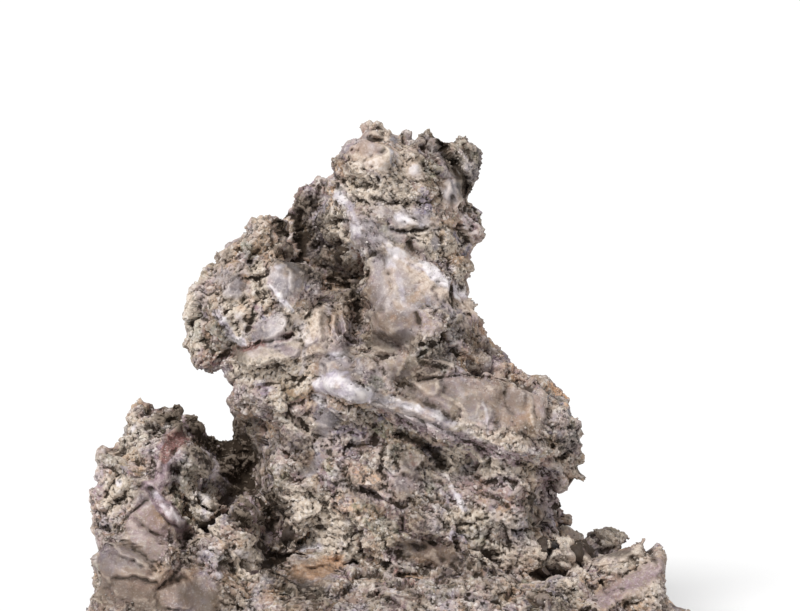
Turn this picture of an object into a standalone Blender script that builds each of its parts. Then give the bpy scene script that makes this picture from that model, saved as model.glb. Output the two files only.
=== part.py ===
"""A rough rock: a crag of broken volcanic stone with a tower, an overhanging shoulder and a wide foot.

The frame is in metres with +Z up. The origin is at the middle of the foot, on the surface that the
rock rests on. -Y is the side that is looked at, and +X is to the right of it.

The rock is one piece of stone, so it is one object. It is made the way a sculptor roughs out a crag:
angular boulders are set where the crag's masses lie, fused into one skin, dented where the crag is
hollow, broken up into facets and lumps, and then cut off flat underneath.
"""

import itertools
import math
import random
from typing import NamedTuple

import bmesh
import bpy
import numpy as np
from mathutils import Euler, Matrix, Vector, noise

MM = 0.001

# Driving dimensions, in millimetres.
LEFT_FACE = -75.6  # the steep broken face at the left end
LEFT_FACE_LEAN = -0.064  # how far that face runs out to the left, for each millimetre towards the back
LEFT_SQUASH = 0.12  # how much is left of whatever stood out past that face
ORIGIN = (0.691, 5.523)  # the middle of the foot, across and along, in the millimetres used below

SEED = 11

# How irregular the boulders are, as shares of their half sizes.
BOULDER_PULL = (0.90, 1.14)
SLAB_PULL = (0.80, 1.06)
BOULDER_WANDER = 0.35  # how far a corner strays round its boulder, in radians

# How finely the skin is made, in millimetres.
FUSE_VOXEL = 1.7
CLEAN_VOXEL = 1.5
CUT_SLACK = 0.001
SKIN_TRIANGLES = 9600
SMOOTH_PASSES = 1
SMOOTH_FACTOR = 0.5

# How the broken surface departs from the boulders, in millimetres: sizes of its pieces and how far they move.
BLOCK_SIZE = 13.0
BLOCK_MOVE = 1.9
LUMP_SIZE = 7.0
LUMP_MOVE = 1.1
FACE_TILT = 0.9  # how much a piece's face leans, against how far it stands out
SLAB_REACH = 1.7
SLAB_ROUGH = 0.25
WARP_MOVE = 3.0
CREASE_SIZE = 26.0
CREASE_DEPTH = 1.8
CREASE_SHARPNESS = 9.0

# Where the random patterns are read from, so that they don't repeat one another.
BLOCK_SHIFT = (3.1, 1.7, 2.3)
CREASE_SHIFT = (9.0, 4.0, 2.0)
TILT_STRIDE = 5.3
STEP_STRIDE = 7.9

STONE_COLOUR = (0.254, 0.206, 0.180, 1.0)
STONE_ROUGHNESS = 0.92


class Mass(NamedTuple):
    """One boulder of the crag, in millimetres and degrees."""

    centre: tuple
    half: tuple
    turn: tuple = (0.0, 0.0, 0.0)
    points: int = 30


class Slab(NamedTuple):
    """A block with flat faces, in millimetres and degrees, smoother than the stone about it."""

    centre: tuple
    half: tuple
    turn: tuple = (0.0, 0.0, 0.0)


class Dent(NamedTuple):
    """A hollow pressed into the skin, in millimetres: where, how wide, which way and how deep."""

    centre: tuple
    radius: tuple
    push: tuple


# The tower's top block and the knobs along its ragged crown.
HEAD = {
    "head_facet": Slab((-7, -7, 124), (6, 6, 6), (-20, 20, 0)),
    "head_core": Mass((2, 9, 112), (17, 19, 17)),
    "head_front": Mass((0, -4, 108), (14, 9, 13)),
    "head_brow": Mass((-8, 4, 121), (10, 11, 10), (0, 22, 0)),
    "head_peak": Mass((-6, 6, 130), (5, 6, 4.5), (0, 10, 0), 18),
    "head_left_cheek": Mass((-12.5, 4, 121), (5.5, 9, 7), (0, 18, 0), 22),
    "head_middle_knob": Mass((7.5, 8, 128.5), (3.5, 6, 4), (0, -8, 0), 18),
    "head_right_knob": Mass((16, 9, 120.5), (5, 8, 8), (0, 6, 0), 22),
    "head_right_tip": Mass((14.5, 9, 127.5), (3, 5, 3.5), (0, 0, 0), 14),
    "head_right_side": Mass((12.5, 6, 110), (6, 12, 9), (0, 0, 0), 24),
    "head_right_horn": Mass((18.5, 6, 107), (4, 6, 5), (0, 10, 0), 18),
    "head_left_side": Mass((-15, 6, 106), (5, 10, 12), (0, 0, 0), 24),
    "nape": Mass((9, 6, 96), (10, 16, 10), (0, 0, 0), 26),
}

# The darker wing behind the notch between the tower and the shoulder.
WING = {
    "wing_core": Mass((-21.5, 20, 107), (8, 12, 10), (0, 24, 0)),
    "wing_tip": Mass((-21.5, 18, 114), (5.5, 7, 5), (0, 10, 0), 18),
    "wing_foot": Mass((-25, 20, 96), (10, 12, 10)),
}

# The block that overhangs to the left.
SHOULDER = {
    "shoulder_facet": Slab((-28, -15, 94), (5.5, 5, 6.5), (-10, 25, 30)),
    "shoulder_low_facet": Slab((-32, -17, 82), (5, 4, 5), (-15, -20, -20)),
    "shoulder_band": Slab((-31, -13, 76), (9, 8, 3.5), (-12, -6, 0)),
    "shoulder_crown": Mass((-32, -3, 105), (8, 11, 7), (0, 12, 0), 26),
    "shoulder_upper": Mass((-38.5, -5, 96), (10, 13, 9), (0, 30, 0)),
    "shoulder_middle": Mass((-39, -6, 88), (13, 14, 10)),
    "shoulder_left": Mass((-47, -3, 87.5), (6, 10, 8), (0, 14, 0), 24),
    "shoulder_left_low": Mass((-48.5, -2, 79.5), (6.5, 9, 6.5), (0, 0, 0), 22),
    "shoulder_hook": Mass((-48, -2, 75), (5, 7, 4), (0, 12, 0), 18),
    "shoulder_boss": Mass((-28, -13, 90), (8, 8, 9), (0, 0, 20), 20),
    "shoulder_under": Mass((-34, -8, 77), (10, 13, 9), (0, 0, 0), 26),
    "shoulder_jaw": Mass((-31.5, -6, 67), (12, 14, 8), (0, -8, 0)),
    "shoulder_back": Mass((-28, 10, 84), (14, 15, 13)),
}

# The sloping middle of the tower, between the head and the ledge.
MIDDLE_BLOCKS = {
    "ramp_plane": Slab((3, -9, 86), (9, 10, 11), (-32, 14, -8)),
    "pool_rim": Slab((-2, -19, 74), (9, 5, 3), (-10, 4, 0)),
    "middle_saddle": Mass((-18, -6, 62), (12, 13, 9), (0, 0, 0), 26),
    "middle_core": Mass((-2, 8, 82), (18, 22, 20)),
    "middle_ramp": Mass((3, -4, 88), (13, 12, 13), (18, 0, 0)),
    "middle_ribs": Mass((-17, -9, 80), (8, 11, 10), (0, 0, 0), 22),
    "middle_shelf": Mass((-8, -14, 69), (15, 12, 7), (0, 6, 0), 26),
    "middle_dark_boss": Slab((12, -10, 80), (5, 6, 7), (-10, 14, 22)),
    "middle_right": Mass((13, 2, 87), (6, 12, 9), (0, -20, 0), 22),
    "middle_right_low": Mass((17, 3, 78), (6, 13, 6), (0, -30, 0), 24),
}

# The wedge that juts out to the right and slopes down to its ragged end.
LEDGE = {
    "ledge_nape": Mass((25, 4, 69.5), (9, 11, 6), (0, 30, 0), 24),
    "ledge_vein": Slab((8, -22, 61), (18, 5, 2.6), (0, 22, 4)),
    "ledge_plane": Slab((18, -15, 64), (17, 10, 7), (-28, 17, 6)),
    "ledge_root": Mass((8, -12, 61), (15, 13, 7), (0, 14, 0), 28),
    "ledge_core": Mass((25, -9, 58.5), (17, 20, 9.5), (0, 12, 0), 34),
    "ledge_top": Mass((31.5, -1, 64.5), (12, 14, 7), (0, 22, 0), 26),
    "ledge_end": Mass((39.5, -6, 56), (6.5, 13, 9), (0, 10, 0), 26),
    "ledge_end_low": Mass((40, -4, 49.5), (6.5, 11, 5.5), (0, 0, 0), 20),
    "ledge_heel": Mass((33, 0, 46), (8, 14, 8), (0, 0, 0), 22),
}

# The broad rough face below the ledge.
BODY = {
    "body_rough_left": Mass((-24, -16, 44), (7, 8, 11), (0, 0, 0), 20),
    "body_rough_middle": Mass((-10, -21, 44), (6, 6, 9), (0, 0, 0), 20),
    "body_rough_plate": Slab((0, -19, 47), (5, 5, 8), (8, 0, -16)),
    "body_rough_right": Mass((26, -15, 40), (11, 9, 12), (0, 0, 0), 24),
    "body_rough_low": Mass((3, -22, 33), (13, 7, 8), (0, 0, 0), 24),
    "body_core": Mass((2, 10, 44), (34, 28, 30), (0, 0, 0), 44),
    "body_front": Mass((-8, -6, 46), (20, 15, 20), (0, 0, 0), 36),
    "body_right": Mass((20, -6, 40), (19, 17, 22), (0, 0, 0), 34),
    "body_right_edge": Mass((37.5, 3, 33), (5.5, 11, 7), (0, 0, 0), 22),
    "body_left_column": Mass((-27.5, -6, 47), (7.5, 14, 19), (0, 2, 0), 28),
    "body_left_recess": Mass((-36.5, 13, 54), (7, 10, 14), (0, 0, 0), 26),
    "body_left_recess_foot": Mass((-42, 10, 41), (8, 12, 9), (0, 0, 0), 24),
    "body_valley": Mass((-40, -8, 30), (11, 14, 10), (0, 0, 0), 26),
}

# The separate lower crag at the left, with its arched ridge.
LEFT_CRAG = {
    "left_core": Mass((-62, -10, 36), (15, 21, 22), (0, 0, 0), 36),
    "left_summit": Mass((-61.5, -9, 56.5), (8.5, 11, 9), (0, 0, 0), 26),
    "left_flank": Mass((-72, -12, 44), (10, 14, 12), (0, 6, 0), 26),
    "left_back": Mass((-54.5, 6, 55), (6.5, 9, 6.5), (0, 20, 0), 24),
    "left_back_knob": Mass((-48, 7, 49), (4, 6, 4), (0, 0, 0), 16),
    "left_arch": Mass((-53, -20, 50), (7, 7, 7), (0, 24, 0), 22),
    "left_arch_leg": Mass((-58, -22, 42), (5, 6, 9), (0, 24, 0), 20),
    "left_plane": Slab((-71, -27, 17), (14, 13, 20), (14, 6, -6)),
    "left_toe": Mass((-46, -28, 24), (9, 11, 12), (0, 0, 0), 24),
    "left_toe_knob": Mass((-40, -24, 34), (6, 8, 7), (0, 0, 0), 20),
    "left_front_fill": Mass((-54, -28, 9), (14, 14, 13), (0, 0, 0), 26),
}

# The low shoulder at the right.
RIGHT_SHOULDER = {
    "right_back_block": Mass((49.5, 10, 25.5), (10, 9, 5.5), (0, 0, 0), 24),
    "right_ledge": Mass((55, -9, 18.5), (15, 17, 8), (0, -4, 0), 30),
    "right_knob": Mass((61.5, -8, 25), (6, 8, 4.5), (0, 0, 0), 20),
    "right_slope": Mass((61.5, -4, 13), (9, 17, 10), (0, 10, 0), 26),
    "right_toe": Mass((70, -4, 3), (9, 17, 8), (0, 10, 0), 24),
}

# The foot, most of it in front and out of sight below.
FOOT = {
    "foot_middle": Mass((-2, -8, 10), (56, 38, 18), (0, 0, 0), 44),
    "foot_front_left": Mass((-30, -34, 11), (20, 13, 13), (0, 0, 0), 28),
    "foot_front_middle": Mass((2, -37, 9), (20, 12, 12), (0, 0, 0), 28),
    "foot_front_right": Mass((33, -30, 10), (20, 14, 13), (0, 0, 0), 28),
    "foot_left": Mass((-68, -8, 8), (16, 30, 15), (0, 0, 0), 30),
    "foot_right": Mass((58, 2, 6), (20, 26, 11), (0, 0, 0), 30),
    "foot_rim": Mass((-24, -30, 20), (12, 12, 8), (0, 0, 0), 22),
    "foot_apron": Mass((14, -28, 18), (17, 13, 11), (0, 0, 0), 26),
}

# The back, rounded out with the same broken stone.
BACK = {
    "back_core": Mass((-4, 24, 50), (28, 24, 38), (0, 0, 0), 44),
    "back_left": Mass((-34, 28, 24), (26, 24, 26), (0, 0, 0), 34),
    "back_right": Mass((34, 26, 12), (24, 22, 15), (0, 0, 0), 34),
    "back_spur": Mass((12, 44, 24), (20, 13, 26), (0, 0, 0), 26),
    "back_foot": Mass((-4, 34, 8), (56, 24, 14), (0, 0, 0), 36),
    "back_left_spur": Mass((-52, 22, 18), (16, 20, 18), (0, 0, 0), 26),
    "back_shelf": Mass((-6, 32, 84), (16, 13, 14), (0, 0, 0), 26),
    "back_head": Mass((5, 24, 108), (12, 10, 12), (0, 0, 0), 24),
    "back_right_shelf": Mass((22, 22, 52), (14, 16, 14), (0, 0, 0), 26),
}

REGIONS = (HEAD, WING, SHOULDER, MIDDLE_BLOCKS, LEDGE, BODY, LEFT_CRAG, RIGHT_SHOULDER, FOOT, BACK)

DENTS = {
    "dark_hollow": Dent((-17, -2, 97), (11, 16, 9), (4, 17, -2)),
    "hollow_throat": Dent((-10, -14, 84), (6, 12, 9), (0, 8, 0)),
    "ramp_pool": Dent((0, -16, 78), (8, 10, 4), (0, 6, -1)),
    "cave_right": Dent((6, -26, 52), (6, 10, 4), (0, 6, 1)),
    "cave_right_end": Dent((16, -20, 49), (4, 12, 5), (0, 8, 0)),
    "cave_left": Dent((-23, -32, 24), (11, 14, 8), (0, 14, 0)),
    "cave_left_top": Dent((-32, -24, 34), (7, 14, 8), (0, 12, 0)),
    "cave_middle": Dent((12, -34, 25), (13, 12, 4), (0, 9, 0)),
    "under_ledge_end": Dent((36, -14, 41), (6, 12, 4), (-3, 6, 0)),
    "round_socket": Dent((29, -14, 36), (5, 9, 5), (0, 6, 0)),
    "valley": Dent((-39, -10, 45), (9, 18, 11), (0, 13, 0)),
    "left_arch_shade": Dent((-50, -30, 42), (4, 9, 8), (2, 8, 0)),
    "left_plane_step": Dent((-62, -44, 24), (15, 10, 3), (0, 3, 0)),
    "back_hollow": Dent((-14, 52, 62), (16, 18, 13), (0, -10, 0)),
    "back_cave": Dent((34, 50, 26), (12, 16, 9), (-3, -9, 0)),
}


def egg_points(rng, count):
    """Points spread over a unit ball, each pulled in or out a little."""
    golden = math.pi * (3.0 - math.sqrt(5.0))
    for index in range(count):
        height = 1.0 - 2.0 * (index + 0.5) / count
        ring = math.sqrt(1.0 - height * height)
        angle = golden * index + rng.uniform(-BOULDER_WANDER, BOULDER_WANDER)
        yield Vector((ring * math.cos(angle), ring * math.sin(angle), height)) * rng.uniform(*BOULDER_PULL)


def box_points(rng):
    """The corners of a cube of half size 1, each moved a little."""
    for corner in itertools.product((-1.0, 1.0), repeat=3):
        yield Vector([side * rng.uniform(*SLAB_PULL) for side in corner])


def boulder(name, mass):
    """The corners of a boulder or a slab, in metres."""
    rng = random.Random(name)
    turn = Euler([math.radians(angle) for angle in mass.turn]).to_matrix()
    units = box_points(rng) if isinstance(mass, Slab) else egg_points(rng, mass.points)
    corners = []
    for unit in units:
        corner = Vector([unit[axis] * mass.half[axis] for axis in range(3)])
        corners.append((turn @ corner + Vector(mass.centre)) * MM)
    return corners


def add_boulder(mesh, name, mass):
    """Adds the convex hull of a boulder's corners to the mesh."""
    made = [mesh.verts.new(corner) for corner in boulder(name, mass)]
    result = bmesh.ops.convex_hull(mesh, input=made)
    spare = [item for item in result["geom_interior"] if isinstance(item, bmesh.types.BMVert)]
    bmesh.ops.delete(mesh, geom=spare, context="VERTS")


def all_boulders():
    """A mesh of every boulder, still overlapping one another."""
    mesh = bmesh.new()
    for region in REGIONS:
        for name, mass in region.items():
            add_boulder(mesh, name, mass)
    bmesh.ops.recalc_face_normals(mesh, faces=mesh.faces)
    data = bpy.data.meshes.new("boulders")
    mesh.to_mesh(data)
    mesh.free()
    return data


def with_modifier(data, kind, **settings):
    """The mesh as one modifier leaves it."""
    holder = bpy.data.objects.new("holder", data)
    bpy.context.scene.collection.objects.link(holder)
    modifier = holder.modifiers.new(kind.title(), kind)
    for name, value in settings.items():
        setattr(modifier, name, value)
    graph = bpy.context.evaluated_depsgraph_get()
    made = bpy.data.meshes.new_from_object(holder.evaluated_get(graph))
    bpy.data.objects.remove(holder)
    bpy.data.meshes.remove(data)
    return made


def fused(data, voxel):
    """The mesh as one closed skin, with everything inside it gone."""
    return with_modifier(data, "REMESH", mode="VOXEL", voxel_size=voxel * MM, adaptivity=0.0)


def smoothed(data, passes):
    """The mesh with its stair steps relaxed."""
    return with_modifier(data, "SMOOTH", factor=SMOOTH_FACTOR, iterations=passes)


def press_dents(points):
    """Moves the points, in millimetres, into each hollow."""
    for dent in DENTS.values():
        away = (points - np.array(dent.centre)) / np.array(dent.radius)
        share = np.clip(1.0 - (away * away).sum(axis=1), 0.0, 1.0)
        share = share * share * (3.0 - 2.0 * share)
        points = points + share[:, None] * np.array(dent.push, float)
    return points


def trim_left(points):
    """Brings whatever stands past the left end back to one steep broken face."""
    past = np.minimum(points[:, 0] - LEFT_FACE - LEFT_FACE_LEAN * points[:, 1], 0.0)
    points[:, 0] -= past * (1.0 - LEFT_SQUASH)
    return points


def roughness(points):
    """How broken the surface is at each point: 1 over most of the rock, and less on a slab's flat faces."""
    rough = np.ones(len(points))
    for region in REGIONS:
        for mass in region.values():
            if isinstance(mass, Slab):
                away = (points - np.array(mass.centre)) / (np.array(mass.half) * SLAB_REACH)
                rough = np.minimum(rough, np.clip((away * away).sum(axis=1), SLAB_ROUGH, 1.0))
    return rough


def block_move(place, size, seed):
    """How far a point stands out with the broken block that it belongs to, from about -1 to 1.

    Space is split into irregular cells, and each cell's face is a plane with its own tilt and height.
    """
    at = place / size + Vector(BLOCK_SHIFT) * seed
    _, spots = noise.voronoi(at)
    home = spots[0]
    tilt = noise.noise_vector(home * TILT_STRIDE)
    step = noise.noise(home * STEP_STRIDE)
    return step + FACE_TILT * tilt.dot(at - home)


def broken_move(point):
    """How far, in millimetres, the broken surface stands out from the boulders at this point."""
    place = point + noise.noise_vector(point / CREASE_SIZE) * WARP_MOVE
    blocks = block_move(place, BLOCK_SIZE, 1.0) * BLOCK_MOVE
    lumps = block_move(place, LUMP_SIZE, 2.0) * LUMP_MOVE
    crease = 1.0 - abs(noise.noise(place / CREASE_SIZE + Vector(CREASE_SHIFT))) * CREASE_SHARPNESS
    return blocks + lumps - max(0.0, crease) * CREASE_DEPTH


def break_surface(data):
    """Dents the skin and breaks it up into facets, lumps and creases."""
    count = len(data.vertices)
    points = np.empty(count * 3, np.float32)
    normals = np.empty(count * 3, np.float32)
    data.vertices.foreach_get("co", points)
    data.vertices.foreach_get("normal", normals)
    points = trim_left(press_dents(points.reshape(-1, 3).astype(float) / MM))
    normals = normals.reshape(-1, 3).astype(float)
    moves = np.array([broken_move(Vector(point)) for point in points]) * roughness(points)
    points = points + normals * moves[:, None]
    data.vertices.foreach_set("co", (points * MM).astype(np.float32).ravel())
    data.update()
    return data


def thinned(data, triangles):
    """The skin with about this many triangles, most of them where it bends most."""
    thinning = {"decimate_type": "COLLAPSE", "ratio": triangles / (2 * len(data.polygons))}
    return with_modifier(data, "DECIMATE", use_collapse_triangulate=True, **thinning)


def cut_flat_underneath(data):
    """Cuts the rock off at the surface that it rests on and closes the cut."""
    mesh = bmesh.new()
    mesh.from_mesh(data)
    everything = mesh.verts[:] + mesh.edges[:] + mesh.faces[:]
    below = {"plane_co": (0, 0, 0), "plane_no": (0, 0, -1), "clear_outer": True}
    cut = bmesh.ops.bisect_plane(mesh, geom=everything, dist=CUT_SLACK * MM, **below)
    rim = [item for item in cut["geom_cut"] if isinstance(item, bmesh.types.BMEdge)]
    bmesh.ops.triangle_fill(mesh, use_beauty=True, edges=rim, normal=(0, 0, -1))
    bmesh.ops.triangulate(mesh, faces=mesh.faces)
    bmesh.ops.recalc_face_normals(mesh, faces=mesh.faces)
    mesh.to_mesh(data)
    mesh.free()
    return data


def set_on_origin(data):
    """Moves the rock so that the middle of its foot is at the origin."""
    data.transform(Matrix.Translation((-ORIGIN[0] * MM, -ORIGIN[1] * MM, 0.0)))
    return data


def stone_material():
    """Dry volcanic stone."""
    material = bpy.data.materials.new("stone")
    material.use_nodes = True
    shader = material.node_tree.nodes["Principled BSDF"]
    shader.inputs["Base Color"].default_value = STONE_COLOUR
    shader.inputs["Roughness"].default_value = STONE_ROUGHNESS
    shader.inputs["Metallic"].default_value = 0.0
    material.diffuse_color = STONE_COLOUR
    return material


def make_rock():
    """Makes the rock as one object."""
    data = fused(all_boulders(), FUSE_VOXEL)
    data = break_surface(smoothed(data, SMOOTH_PASSES))
    data = fused(data, CLEAN_VOXEL)
    data = thinned(data, SKIN_TRIANGLES)
    data = set_on_origin(cut_flat_underneath(data))
    data.name = "rock"
    data.materials.append(stone_material())
    rock = bpy.data.objects.new("rock", data)
    bpy.context.scene.collection.objects.link(rock)
    data.shade_flat()
    return rock


def main():
    """Clears the scene and makes the rock."""
    noise.seed_set(SEED)
    for item in list(bpy.data.objects):
        bpy.data.objects.remove(item)
    make_rock()


main()
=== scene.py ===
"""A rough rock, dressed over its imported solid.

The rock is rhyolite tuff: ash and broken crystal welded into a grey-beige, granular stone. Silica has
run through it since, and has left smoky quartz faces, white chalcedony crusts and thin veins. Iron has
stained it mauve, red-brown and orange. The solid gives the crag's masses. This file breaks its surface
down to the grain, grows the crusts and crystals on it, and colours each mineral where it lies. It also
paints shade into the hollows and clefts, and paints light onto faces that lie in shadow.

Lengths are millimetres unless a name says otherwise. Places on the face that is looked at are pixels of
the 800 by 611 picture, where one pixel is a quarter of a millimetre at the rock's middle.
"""

import logging
import math
from dataclasses import dataclass, field
from enum import Enum

import bmesh
import bpy
import numpy as np
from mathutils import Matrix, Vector


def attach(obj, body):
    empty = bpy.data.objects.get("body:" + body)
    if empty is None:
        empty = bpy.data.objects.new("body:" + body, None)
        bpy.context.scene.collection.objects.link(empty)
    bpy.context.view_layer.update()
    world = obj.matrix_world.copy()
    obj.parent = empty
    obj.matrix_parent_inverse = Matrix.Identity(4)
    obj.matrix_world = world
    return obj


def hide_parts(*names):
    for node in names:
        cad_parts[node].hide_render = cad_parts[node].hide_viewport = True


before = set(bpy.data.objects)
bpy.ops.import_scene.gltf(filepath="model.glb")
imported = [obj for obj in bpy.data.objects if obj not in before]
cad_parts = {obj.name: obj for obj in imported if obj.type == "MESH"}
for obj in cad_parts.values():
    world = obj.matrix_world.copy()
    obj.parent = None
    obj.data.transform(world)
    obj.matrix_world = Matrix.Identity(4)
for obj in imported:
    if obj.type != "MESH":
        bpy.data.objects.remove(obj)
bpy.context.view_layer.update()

LOG = logging.getLogger("rough_rock")
# A millimetre, in metres.
MM = 0.001
# How wide a pixel of the picture is at the rock's middle.
PIXEL = 0.25
# How far a vertex has to be seen, from 0 to 1, to count as part of the face that is looked at.
LOOKED_AT = 0.3
Pixel = tuple[float, float]
Path = tuple[Pixel, ...]


# Colours and nodes.


def linear(hex_colour: str) -> tuple[float, float, float, float]:
    """Turns an sRGB hex colour into the linear one that a shader takes.

    Args:
        hex_colour: Six hex digits, such as "8f8176".

    Returns:
        Red, green, blue and an alpha of 1.
    """
    channels = [int(hex_colour[i : i + 2], 16) / 255 for i in (0, 2, 4)]
    red, green, blue = (c / 12.92 if c <= 0.04045 else ((c + 0.055) / 1.055) ** 2.4 for c in channels)
    return red, green, blue, 1.0


def add_node(
    tree: bpy.types.NodeTree, kind: str, settings: dict | None = None, **links: object
) -> bpy.types.Node:
    """Adds a node with its settings and its inputs.

    Args:
        tree: The node tree that it goes into.
        kind: The node's type, without the leading "ShaderNode".
        settings: Properties to set on the node.
        **links: Inputs by name, with underscores for spaces, or by number as "i0". A value that is a
            socket is linked, and any other value is set.

    Returns:
        The new node.
    """
    node = tree.nodes.new("ShaderNode" + kind)
    for name, value in (settings or {}).items():
        setattr(node, name, value)
    for name, value in links.items():
        numbered = name[0] == "i" and name[1:].isdigit()
        socket = node.inputs[int(name[1:]) if numbered else name.replace("_", " ")]
        if isinstance(value, bpy.types.NodeSocket):
            tree.links.new(value, socket)
        else:
            socket.default_value = value
    return node


# Noise.


def scramble(cells: np.ndarray, seed: int) -> np.ndarray:
    """Three repeatable numbers from 0 to 1 for each whole-number cell.

    Args:
        cells: Whole numbers, with x, y and z along the last axis.
        seed: Chooses one of many such patterns.

    Returns:
        Three numbers for each cell, along the last axis.
    """
    x, y, z = np.moveaxis(cells, -1, 0)
    mixed = x * 374761393 + y * 668265263 + z * 1440662683 + seed * 974634777
    mixed &= 0xFFFFFFFF
    mixed = ((mixed ^ (mixed >> 13)) * 1274126177) & 0xFFFFFFFF
    mixed = ((mixed ^ (mixed >> 15)) * 2246822519) & 0xFFFFFFFF
    mixed ^= mixed >> 16
    return np.stack([mixed & 1023, (mixed >> 10) & 1023, (mixed >> 20) & 1023], axis=-1) / 1023.0


def soft_noise(points: np.ndarray, size: float, seed: int) -> np.ndarray:
    """Smooth noise from about -1 to 1.

    Args:
        points: Places, in millimetres.
        size: How far apart its hills are, in millimetres.
        seed: Chooses the pattern.

    Returns:
        One number for each place.
    """
    at = points / size + seed * 17.31
    cell = np.floor(at).astype(np.int64)
    part = at - cell
    fade = part * part * part * (part * (part * 6.0 - 15.0) + 10.0)
    total = np.zeros(len(points))
    for corner in np.ndindex(2, 2, 2):
        step = np.array(corner)
        lean = scramble(cell + step, seed) - 0.5
        shares = [fade[:, axis] if corner[axis] else 1.0 - fade[:, axis] for axis in range(3)]
        total += shares[0] * shares[1] * shares[2] * np.einsum("ij,ij->i", lean, part - step)
    return total * 2.6


def layered_noise(points: np.ndarray, size: float, seed: int, layers: int = 3) -> np.ndarray:
    """Smooth noise with finer noise on it, each layer half the size and half the height of the last."""
    return sum(soft_noise(points, size / 2**i, seed + i) / 2**i for i in range(layers))


@dataclass(frozen=True)
class Cells:
    """What each place knows of the irregular cell that it lies in."""

    home: np.ndarray
    edge: np.ndarray
    number: np.ndarray


def find_cells(points: np.ndarray, size: float, seed: int) -> Cells:
    """Splits space into irregular cells.

    Args:
        points: Places, in millimetres.
        size: How wide a cell is, in millimetres.
        seed: Chooses the pattern.

    Returns:
        For each place, the vector from its cell's middle, how far the nearest border is and a number from
        0 to 1 that is the cell's own. Lengths are in cell widths.
    """
    at = points / size + seed * 11.7
    cell = np.floor(at).astype(np.int64)
    nearest = np.full(len(points), 9.0)
    second = np.full(len(points), 9.0)
    home = np.zeros_like(points)
    number = np.zeros(len(points))
    for step in np.ndindex(3, 3, 3):
        near = cell + np.array(step) - 1
        middle = scramble(near, seed)
        away = at - near - middle
        far = np.sqrt(np.einsum("ij,ij->i", away, away))
        closer = far < nearest
        second = np.where(closer, nearest, np.minimum(second, far))
        nearest = np.where(closer, far, nearest)
        home[closer] = away[closer]
        number[closer] = middle[closer].sum(axis=1) * 7.0 % 1.0
    return Cells(home, second - nearest, number)


def chip_heights(cells: Cells, seed: int) -> np.ndarray:
    """How far each place of broken stone stands out, from about -1 to 1.

    Args:
        cells: The cells, each of which is a flat chip with a height and a tilt of its own.
        seed: Chooses the tilts.

    Returns:
        One number for each place.
    """
    key = np.floor(cells.number * 65536).astype(np.int64)
    spin = scramble(np.stack([key, key * 0, key * 0], axis=-1), seed) - 0.5
    return (cells.number - 0.5) * 1.2 + 2.2 * np.einsum("ij,ij->i", spin, cells.home)


def broken(points: np.ndarray, size: float, seed: int, height: float, crack: float = 0.0) -> np.ndarray:
    """Flat chips with a crack round each.

    Args:
        points: Places, in millimetres.
        size: How wide a chip is, in millimetres.
        seed: Chooses the pattern.
        height: How far a chip stands out, in millimetres.
        crack: How deep the cracks are, in millimetres.

    Returns:
        How far each place stands out, in millimetres.
    """
    cells = find_cells(points, size, seed)
    return height * chip_heights(cells, seed) - crack * (1.0 - ramp(cells.edge, 0.0, 0.11))


def along_layers(points: np.ndarray, run: float, thin: float = 1.9) -> np.ndarray:
    """Squeezes space across the stone's layers, so that cells come out long and thin.

    Args:
        points: Places, in millimetres.
        run: How steeply the layers rise to the right, in degrees.
        thin: How many times thinner a cell comes out.

    Returns:
        The squeezed places.
    """
    lean = math.radians(run)
    across = np.array((-math.sin(lean), 0.25, math.cos(lean)))
    across /= np.linalg.norm(across)
    return points + (thin - 1.0) * (points @ across)[:, None] * across


def bend(points: np.ndarray, size: float, reach: float, seed: int) -> np.ndarray:
    """A smooth shift of each place, which draws a pattern out of true.

    Args:
        points: Places, in millimetres.
        size: How far apart the shift's swings are, in millimetres.
        reach: How far it shifts, in millimetres.
        seed: Chooses the pattern.

    Returns:
        The shifts, in millimetres.
    """
    return np.stack([soft_noise(points, size, seed * 7 + axis) for axis in range(3)], axis=1) * reach


def ramp(value: np.ndarray, low: float, high: float) -> np.ndarray:
    """Rises smoothly from 0 at low to 1 at high."""
    share = np.clip((value - low) / (high - low), 0.0, 1.0)
    return share * share * (3.0 - 2.0 * share)


# The face that is looked at.


@dataclass(frozen=True)
class Sight:
    """The camera that the face is looked at with."""

    distance: float = 1200.0
    elevation: float = 6.0
    lens: float = 216.0
    film: float = 36.0
    aim: tuple[float, float, float] = (-0.691, -5.523, 87.4)
    size: tuple[int, int] = (800, 611)

    def axes(self) -> tuple[np.ndarray, np.ndarray, np.ndarray]:
        """Right, up and forward, as the camera sees them."""
        lift = math.radians(self.elevation)
        right = np.array((1.0, 0.0, 0.0))
        up = np.array((0.0, math.sin(lift), math.cos(lift)))
        return right, up, np.array((0.0, math.cos(lift), -math.sin(lift)))

    def eye(self) -> np.ndarray:
        """Where the camera stands."""
        return np.array(self.aim) - self.axes()[2] * self.distance

    def see(self, points: np.ndarray) -> tuple[np.ndarray, np.ndarray]:
        """Where each place falls in the picture.

        Args:
            points: Places, in millimetres.

        Returns:
            Pixels across and down, and how far in front of the camera each place is.
        """
        right, up, forward = self.axes()
        away = points - self.eye()
        depth = away @ forward
        zoom = self.lens / self.film * self.size[0]
        across = self.size[0] / 2 + zoom * (away @ right) / depth
        down = self.size[1] / 2 - zoom * (away @ up) / depth
        return np.stack([across, down], axis=1), depth

    def build(self) -> None:
        """Makes the camera and looks through it."""
        data = bpy.data.cameras.new("camera")
        data.lens = self.lens
        data.sensor_width = self.film
        data.clip_start = 0.01
        camera = bpy.data.objects.new("camera", data)
        bpy.context.scene.collection.objects.link(camera)
        camera.location = Vector(self.eye() * MM)
        camera.rotation_euler = Vector(self.axes()[2]).to_track_quat("-Z", "Y").to_euler()
        bpy.context.scene.camera = camera


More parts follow.
